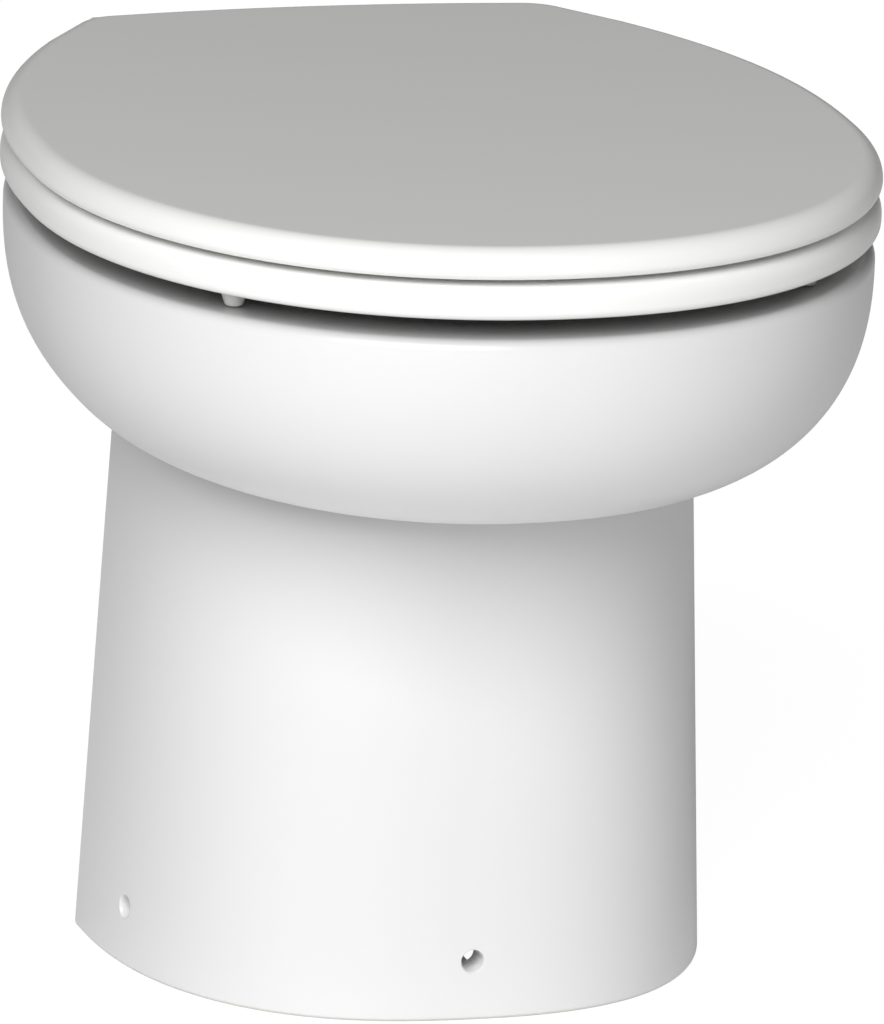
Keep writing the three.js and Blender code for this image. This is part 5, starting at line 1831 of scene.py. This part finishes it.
    def build(self) -> None:
        """Builds the pump and what hangs it on the bowl."""
        self.housing()
        self.inspection_cap()
        seal = self.down.ring(self.lip_radius, self.outlet_radius, *self.seal, soft=1.1, steps=96)
        show(seal, "moulded_outlet_seal", BLACK_RUBBER, "outlet_seal")
        self.clamp_half("left", -1)
        self.clamp_half("right", 1)
        low, high = self.clamp
        foot = high + GAP
        for index, line in enumerate(self.bolt_lines(), 1):
            shank = self.thread.screw(line, self.bolt_end, low - 2, foot + 2.0, 24)
            body = joined(shank, line.hexagon(self.bolt_head, foot, foot + self.bolt_head_height))
            show(body, f"clamp_screw_{index}", STAINLESS, f"clamp_bolt_{index}", sharp=self.bolt_sharp)


# --- Motor ----------------------------------------------------------------------------------


@dataclass(frozen=True)
class Motor:
    """Motor behind the pump: bell, casing, end cap, tie rods and cable gland."""

    shaft_z: float = 98.0
    radius: float = 38.0
    wall: float = 4.0
    bell: Pair = (66.3, 76.3)
    bell_round: float = 1.5
    casing: Pair = (76.6, 168.6)
    casing_soft: float = 0.6
    end_cap: Pair = (168.9, 184.9)
    end_pocket: float = 176.5
    end_round: float = 6.0
    pocket: float = 11.3
    rod_x: float = 45.0
    rod_radius: float = 2.5
    rod_front: float = 67.3
    head: float = 4.5
    head_height: float = 4.0
    ear: float = 6.0
    groove: float = 0.9
    groove_halves: Pair = (2.0, 0.8)
    groove_inset: float = 9.0
    gland_y: float = 176.9
    gland: Pair = (136.3, 148.0)
    gland_radius: float = 8.0
    gland_neck: float = 5.0
    gland_neck_length: float = 6.0
    gland_bore: float = 3.5
    gland_seat: float = 11.0
    vents: int = 8
    vent_reach: Pair = (17.0, 30.0)
    vent_half: float = 1.6
    vent_depth: float = 2.0

    @property
    def shaft(self) -> Line:
        """The middle line of the shaft."""
        return along_y(0, self.shaft_z)

    def end_plate(self, span: Pair, back_round: float) -> Body:
        """Builds an end plate with an ear on each side for the tie rods.

        Args:
            span: Its front and back.
            back_round: Round of its back edge.

        Returns:
            The plate.
        """
        low, high = span
        edge = [(self.radius - inset, high - drop) for inset, drop in rounds(back_round, 15)]
        disc = self.shaft.solid([(self.radius, low), *edge], steps=96)
        ears, bores = [], []
        for side in (-1, 1):
            line = along_y(side * self.rod_x, self.shaft_z)
            x0, x1 = mirrored(side, (self.radius / 2, self.rod_x))
            bottom, top = self.shaft_z - self.ear, self.shaft_z + self.ear
            bar = block(at(x0, low, bottom), at(x1, high - 1.5, top), 1.0)
            ears.append(joined(line.rod(self.ear, low, high, soft=1.0, steps=40), bar))
            bores.append(line.rod(self.rod_radius + 0.4, low - OVER, high + OVER, steps=28))
        return taken(joined(disc, *ears), gathered(*bores))

    def bell_plate(self) -> None:
        """Builds the plate between pump and motor."""
        low, high = self.bell
        pocket = self.shaft.rod(self.pocket, low - OVER, high + OVER, steps=48)
        body = taken(self.end_plate(self.bell, self.bell_round), pocket)
        show(body, "cast_motor_bell", MOTOR_PAINT, "motor_bell")

    def body_tube(self) -> None:
        """Builds the drawn casing with a rolled groove near each end."""
        low, high = self.casing
        inner, outer = self.radius - self.wall, self.radius
        outline = [(inner, low), (outer, low)]
        for middle in (low + self.groove_inset, high - self.groove_inset):
            outline += groove(outer, middle, self.groove, self.groove_halves)
        body = self.shaft.turned([*outline, (outer, high), (inner, high)], self.casing_soft, 3, 96, True)
        show(body, "painted_motor_casing", MOTOR_PAINT, "motor_casing")

    def end_cover(self) -> None:
        """Builds the domed end cap with its shallow cooling slots."""
        low, high = self.end_cap
        (near, far), half = self.vent_reach, self.vent_half
        slot = (local(near, high - self.vent_depth, -half), local(far, high + OVER, half))
        gland = upright(0, self.gland_y)
        body = taken(
            self.end_plate(self.end_cap, self.end_round),
            self.shaft.rod(self.pocket, low - OVER, self.end_pocket, steps=48),
            gland.rod(self.gland_neck + 0.4, self.shaft_z + self.gland_seat, self.gland[1], steps=32),
            self.shaft.spokes(self.vents, 0.5, *slot, 0.5),
        )
        show(body, "cast_motor_end_cap", MOTOR_PAINT, "motor_end_cap")

    def tie_rod(self, name: str, side: int) -> None:
        """Builds one tie rod with its hexagon head.

        Args:
            name: left or right.
            side: 1 for the right, -1 for the left.
        """
        line, foot = along_y(side * self.rod_x, self.shaft_z), self.end_cap[1] + GAP
        bar = line.rod(self.rod_radius, self.rod_front, foot + 2.0, soft=0.5, steps=28)
        body = joined(bar, line.hexagon(self.head, foot, foot + self.head_height))
        show(body, f"turned_tie_rod_{name}", STAINLESS, f"motor_tie_rod_{name}")

    def cable_gland(self) -> None:
        """Builds the cable's screwed inlet."""
        low, high = self.gland
        line, radius = upright(0, self.gland_y), self.gland_radius
        nut_end = low + (high - low) * 0.5
        slim, neck_end = radius * 0.84, low - self.gland_neck_length
        dome = line.solid([(slim, nut_end - 1.0), (slim, high - 3.0), (radius * 0.6, high)], 1.6, 4, 48)
        neck = line.rod(self.gland_neck, neck_end, nut_end, steps=40)
        bore = line.rod(self.gland_bore, neck_end - self.gland_neck_length, high + OVER, steps=32)
        body = taken(joined(line.hexagon(radius, low, nut_end), dome, neck), bore)
        show(body, "moulded_cable_gland", BLACK_PLASTIC, "cable_gland")

    def build(self) -> None:
        """Builds the motor's outside."""
        self.bell_plate()
        self.body_tube()
        self.end_cover()
        self.tie_rod("left", -1)
        self.tie_rod("right", 1)
        self.cable_gland()


# --- Discharge ------------------------------------------------------------------------------


@dataclass(frozen=True)
class Discharge:
    """Barbed spigot and the fluted nut that holds it on the pump's branch."""

    x: float = 100.0
    z: float = 70.0
    radius: float = 17.0
    bore: float = 15.0
    collar: float = 25.0
    collar_span: Pair = (94.6, 99.6)
    end: float = 255.0
    barbs: Triple = (225.0, 236.0, 247.0)
    barb_length: float = 5.5
    barb_rise: float = 2.0
    nut: float = 31.0
    nut_span: Pair = (86.0, 103.9)
    nut_lip: float = 4.0
    flutes: int = 20
    flute: float = 3.4

    def spigot(self) -> None:
        """Builds the spigot."""
        low, high = self.collar_span
        radius, end = self.radius, self.end
        outline = [
            (self.bore, low), (self.collar, low), (self.collar, high), (radius + 1.0, high),
            (radius, high + 1.5),
        ]
        for foot in self.barbs:
            start = foot - self.barb_length
            outline += [(radius, start), (radius + self.barb_rise, start + 0.4), (radius, foot)]
        outline += [(radius, end - 1.0), (radius - 0.7, end), (self.bore, end)]
        body = along_y(self.x, self.z).turned(outline, 0.4, 3, 80, True)
        show(body, "moulded_spigot", BLACK_PLASTIC, "discharge_spigot")

    def union_nut(self) -> None:
        """Builds the fluted nut."""
        low, high = self.nut_span
        wide, narrow, inner = self.collar + 0.4, self.radius + 0.4, high - self.nut_lip
        outline = [
            (wide, low), (self.nut, low), (self.nut, high), (narrow, high), (narrow, inner), (wide, inner),
        ]
        line = along_y(self.x, self.z)
        span = (low - OVER, high - 3.0)
        tools = line.flutes(self.flutes, self.nut + 1.6, self.flute, span, soft=1.0, steps=20)
        body = taken(line.turned(outline, 1.2, 4, 100, True), tools)
        show(body, "moulded_union_nut", GREY_PLASTIC, "union_nut")

    def build(self) -> None:
        """Builds the discharge line."""
        self.spigot()
        self.union_nut()


# --- Rinse water ----------------------------------------------------------------------------


@dataclass(frozen=True)
class Rinse:
    """Solenoid valve on its bracket, the hose and the spud in the back of the bowl."""

    plane: float = 244.0
    inlet_z: float = 303.5
    rim_back: float = 234.0
    hose: float = 8.0
    hose_bore: float = 5.0
    hose_bend: float = 64.0
    hose_low: float = 138.0
    hose_end: float = 77.7
    spud_tail: float = 8.6
    spud_collar: float = 14.0
    spud_collar_thickness: float = 4.0
    spud_length: float = 24.0
    spud_head: float = 8.0
    spud_drop: float = 20.0
    stem: float = 4.6
    stem_bore: float = 3.0
    stem_reach: float = 14.0
    valve_x: float = 95.0
    valve_half: Pair = (17.0, 15.0)
    valve: Pair = (125.5, 150.5)
    thread: Thread = Thread(7.0, 0.7, 1.8)
    inlet_bore: float = 5.0
    inlet_end: float = 146.0
    chamber: float = 12.0
    chamber_depth: float = 8.0
    port: float = 3.0
    core_flange: float = 14.0
    core: tuple[float, float, float, float] = (150.8, 153.8, 188.0, 191.0)
    core_radius: float = 7.0
    core_bore: float = 5.1
    coil: Pair = (154.1, 188.1)
    coil_radius: float = 15.0
    coil_groove: float = 0.9
    coil_groove_halves: Pair = (1.2, 0.5)
    coil_groove_inset: float = 6.0
    blade: Triple = (6.0, 9.0, 0.8)  # width, height and thickness
    blade_spacing: float = 14.0
    clip_x: float = 100.0
    clip_z: float = 70.0
    clip: Pair = (197.0, 211.0)
    clip_bore: float = 17.4
    clip_wall: float = 3.0
    tab_half: float = 8.0
    shelf: Pair = (122.2, 125.2)
    shelf_web: float = 2.5
    shelf_web_height: float = 22.0

    @property
    def solenoid(self) -> Line:
        """The middle line of the solenoid."""
        return upright(self.valve_x, self.plane)

    def hose_line(self, over: float) -> list[Vector]:
        """Draws the hose's middle line.

        Args:
            over: Extra length at both ends.

        Returns:
            Its points.
        """
        bend, low = self.hose_bend, self.hose_low
        points = [at(self.hose_end + over, self.plane, low)]
        for step in range(25):
            turn = QUARTER * step / 24
            points.append(at(bend * (1 - math.sin(turn)), self.plane, low + bend * (1 - math.cos(turn))))
        return [*points, at(0, self.plane, self.inlet_z - self.spud_drop - GAP + over)]

    def hose_piece(self) -> None:
        """Builds the braided hose."""
        body = taken(tube(self.hose_line(0.0), self.hose, 40), tube(self.hose_line(OVER), self.hose_bore, 32))
        show(body, "braided_rinse_hose", HOSE, "rinse_hose")

    def spud(self) -> None:
        """Builds the elbow in the back of the bowl."""
        face = self.rim_back + GAP
        start, step = face - self.spud_length, face + self.spud_collar_thickness
        back, down, neck = along_y(0, self.inlet_z), upright(0, self.plane), self.spud_head - 1.5
        outline = [
            (self.spud_tail, start), (self.spud_tail, face), (self.spud_collar, face),
            (self.spud_collar, step), (neck, step), (neck, self.plane),
        ]
        tail = back.solid(outline, 0.8)
        low, top = self.inlet_z - self.spud_drop, self.inlet_z + self.spud_head
        tip, stem, head = low - self.stem_reach, self.stem, self.spud_head
        outline = [(stem - 0.6, tip), (stem, tip + 3), (stem, low), (head, low), (head, top)]
        body = taken(
            joined(tail, down.solid(outline, 2.2, 5)),
            back.rod(self.hose_bore, start - OVER, self.plane, steps=36),
            down.rod(self.stem_bore, tip - OVER, self.inlet_z, steps=32),
        )
        show(body, "moulded_spud", NYLON, "rinse_spud")

    def body_block(self) -> None:
        """Builds the valve's body with its outlet stem and threaded inlet."""
        half_x, half_y = self.valve_half
        low, high = self.valve
        left, right = self.valve_x - half_x, self.valve_x + half_x
        box = block(at(left, self.plane - half_y, low), at(right, self.plane + half_y, high), 2.0)
        level, radius, end = along_x(self.plane, self.hose_low), self.thread.radius, self.inlet_end
        outline = [(radius + 1.6, self.valve_x), (radius + 1.6, right + 3), (radius - 0.5, right + 4)]
        outline += [*self.thread.points(right + 5.0, end - 2.5), (radius - 1.0, end)]
        tip = left - self.stem_reach
        stem = level.rod(self.stem, tip, self.valve_x, soft=0.8, steps=40)
        body = taken(
            joined(box, level.solid(outline, steps=48), stem),
            level.rod(self.stem_bore, tip - OVER, self.valve_x, steps=32),
            level.rod(self.inlet_bore, self.valve_x, end + OVER, steps=36),
            self.solenoid.rod(self.chamber, high - self.chamber_depth, high + OVER, steps=56),
            self.solenoid.rod(self.port, self.hose_low, high, steps=32),
        )
        show(body, "moulded_valve_body", NYLON, "valve_body")

    def core_tube(self) -> None:
        """Builds the tube the plunger slides in."""
        low, flange_top, bore_end, high = self.core
        flange, radius = self.core_flange, self.core_radius
        outline = [(flange, low), (flange, flange_top), (radius, flange_top), (radius, high)]
        bore = self.solenoid.rod(self.core_bore, low - OVER, bore_end, steps=48)
        body = taken(self.solenoid.solid(outline, 0.6), bore)
        show(body, "turned_core_tube", STAINLESS, "valve_core_tube")

    def coil_piece(self) -> None:
        """Builds the moulded coil with its two blades."""
        low, high = self.coil
        radius, inset = self.coil_radius, self.coil_groove_inset
        outline = [(radius, low)]
        for middle in (low + inset, high - inset):
            outline += groove(radius, middle, self.coil_groove, self.coil_groove_halves)
        winding = self.solenoid.solid([*outline, (radius, high)], 1.2, 4, 72)
        wide, tall, thin = self.blade
        bore, half = self.core_radius + 0.4, wide / 2
        y, top = self.plane - bore - half, high + tall
        outline = [
            (y - half, high - tall), (y + half, high - tall), (y + half, top - 1.5), (y + half / 2, top),
            (y - half / 2, top), (y - half, top - 1.5),
        ]
        blades = []
        for side in (-1, 1):
            x = self.valve_x + side * self.blade_spacing / 2 - thin / 2
            blades.append(plate([at(x, across, z) for across, z in outline], local(thin, 0, 0)))
        body = taken(joined(winding, *blades), self.solenoid.rod(bore, low - OVER, high + OVER, steps=48))
        show(body, "moulded_coil", BLACK_PLASTIC, "valve_coil")

    def bracket(self) -> None:
        """Builds the clip round the discharge pipe, with its tab and shelf."""
        start, end = self.clip
        bore, left, right = self.clip_bore, self.clip_x - self.tab_half, self.clip_x + self.tab_half
        pipe = along_y(self.clip_x, self.clip_z)
        clip = pipe.ring(bore + self.clip_wall, bore, start, end, soft=0.8, steps=72)
        low, high = self.shelf
        half_x, half_y = self.valve_half
        far = self.plane + half_y
        tab = block(at(left, start, self.clip_z + bore + 1.5), at(right, end, low + 1.5), 1.2)
        shelf = block(at(self.valve_x - half_x, start, low), at(self.valve_x + half_x, far, high), 1.0)
        foot = low - self.shelf_web_height
        outline = [(end - 2, low + 1), (end - 2, foot), (end + 1.5, foot), (far - 8, low + 1)]
        webs = []
        for x in (left, right - self.shelf_web):
            webs.append(plate([at(x, y, z) for y, z in outline], local(self.shelf_web, 0, 0)))
        show(joined(clip, tab, shelf, gathered(*webs)), "pressed_valve_bracket", STAINLESS, "valve_bracket")

    def build(self) -> None:
        """Builds the rinse line."""
        self.hose_piece()
        self.spud()
        self.body_block()
        self.core_tube()
        self.coil_piece()
        self.bracket()


# --- Studio ---------------------------------------------------------------------------------


@dataclass(frozen=True)
class Studio:
    """Camera at the photograph's angle, pale floor and soft lights."""

    azimuth: float = -15.5
    elevation: float = 15.37
    roll: float = 1.97
    distance: float = 8.0
    focal_px: float = 18482.5
    long_side_px: float = 1024.0
    centre_px: Point = (442.0, 512.0)
    axis_px: Point = (434.09, 519.94)
    sensor: float = 36.0
    clip: Pair = (0.1, 60.0)
    target: Triple = (0.0, 0.0, 200.0)
    world: float = 0.11
    backdrop: float = 1.0
    floor_size: float = 14.0
    floor_glow: float = 0.96
    floor_seen: float = 0.13
    floor_tone: float = 0.8
    floor_lift: float = 0.12
    key_power: float = 234.0
    key_azimuth: float = -25.0
    key_elevation: float = 35.0
    key_size: float = 2.94
    key_distance: float = 5.0
    key_target: Triple = (0.0, 0.0, 180.0)

    def away(self, azimuth: float, elevation: float) -> Vector:
        """Returns the direction to a place so many degrees round from the front and over the floor."""
        a, e = math.radians(azimuth), math.radians(elevation)
        return Vector((math.sin(a) * math.cos(e), -math.cos(a) * math.cos(e), math.sin(e)))

    def camera(self) -> None:
        """Makes the camera."""
        data = bpy.data.cameras.new("camera")
        data.sensor_width = self.sensor
        data.lens = self.focal_px * self.sensor / self.long_side_px
        data.shift_x = (self.centre_px[0] - self.axis_px[0]) / self.long_side_px
        data.shift_y = (self.axis_px[1] - self.centre_px[1]) / self.long_side_px
        data.clip_start, data.clip_end = self.clip
        made = bpy.data.objects.new("camera", data)
        bpy.context.scene.collection.objects.link(made)
        back = self.away(self.azimuth, self.elevation)
        turn = (-back).to_track_quat("-Z", "Y").to_matrix().to_4x4()
        spin = Matrix.Rotation(math.radians(self.roll), 4, "Z")
        made.matrix_world = Matrix.Translation(at(*self.target) + back * self.distance) @ turn @ spin
        bpy.context.scene.camera = made

    def floor(self) -> None:
        """Makes the pale floor, that looks white but lights the toilet like plain paper."""
        body = bmesh.new()
        bmesh.ops.create_grid(body, x_segments=1, y_segments=1, size=self.floor_size)
        made = as_object(body, "floor")
        bench = NodeBench("floor_white")
        seen = bench.add("ShaderNodeLightPath", "Is Camera Ray")
        paper = bench.shade(bench.noise(2.0), (self.floor_tone,) * 3, (self.floor_tone + 0.02,) * 3)
        bench.set(
            Roughness=0.9, Specular_IOR_Level=0.1, Emission_Color=(1, 1, 1, 1),
            Emission_Strength=bench.ranged(seen, (0.0, 1.0), self.floor_lift, self.floor_glow),
            Base_Color=bench.blend(seen, paper, (*(self.floor_seen,) * 3, 1)),
        )
        made.data.materials.append(bench.material)

    def key(self) -> None:
        """Makes the one large soft light."""
        data = bpy.data.lights.new("key", "AREA")
        data.energy, data.size = self.key_power, self.key_size
        made = bpy.data.objects.new("key", data)
        bpy.context.scene.collection.objects.link(made)
        back = self.away(self.key_azimuth, self.key_elevation)
        made.location = at(*self.key_target) + back * self.key_distance
        made.rotation_mode = "QUATERNION"
        made.rotation_quaternion = (-back).to_track_quat("-Z", "Y")

    def surroundings(self) -> None:
        """Makes the even light all round, with a white backdrop."""
        world = bpy.data.worlds.new("surroundings")
        world.use_nodes = True
        bpy.context.scene.world = world
        tree = world.node_tree
        tree.nodes.clear()
        output = tree.nodes.new("ShaderNodeOutputWorld")
        mix = tree.nodes.new("ShaderNodeMixShader")
        seen = tree.nodes.new("ShaderNodeLightPath")
        for index, strength in enumerate((self.world, self.backdrop), 1):
            shade = tree.nodes.new("ShaderNodeBackground")
            shade.inputs["Color"].default_value = (1, 1, 1, 1)
            shade.inputs["Strength"].default_value = strength
            tree.links.new(shade.outputs["Background"], mix.inputs[index])
        tree.links.new(seen.outputs["Is Camera Ray"], mix.inputs[0])
        tree.links.new(mix.outputs["Shader"], output.inputs["Surface"])

    def build(self) -> None:
        """Builds the whole studio."""
        self.camera()
        self.floor()
        self.surroundings()
        self.key()
        view = bpy.context.scene.view_settings
        view.view_transform, view.look = "Standard", "None"
        view.exposure, view.gamma = 0.0, 1.0


def dress_nodes() -> None:
    """Gives every CAD node that stays its finish, by the record's slot."""
    finishes = {finish.slot: finish for finish in FINISHES}
    for part in frame["record"]["subparts"]:
        for slot in frame["nodes"][part["node"]].material_slots:
            slot.material = finishes[part["material_slot"]].material()


def main() -> None:
    """Builds and dresses the toilet in its studio."""
    logging.basicConfig(level=logging.INFO, format="%(name)s: %(message)s")
    Studio().build()
    dress_nodes()
    bowl = Bowl()
    for part in (bowl, FloorBrackets(bowl), Seating(), Hinges(), Pump(), Motor(), Discharge(), Rinse()):
        part.build()


if __name__ == "__main__":
    main()
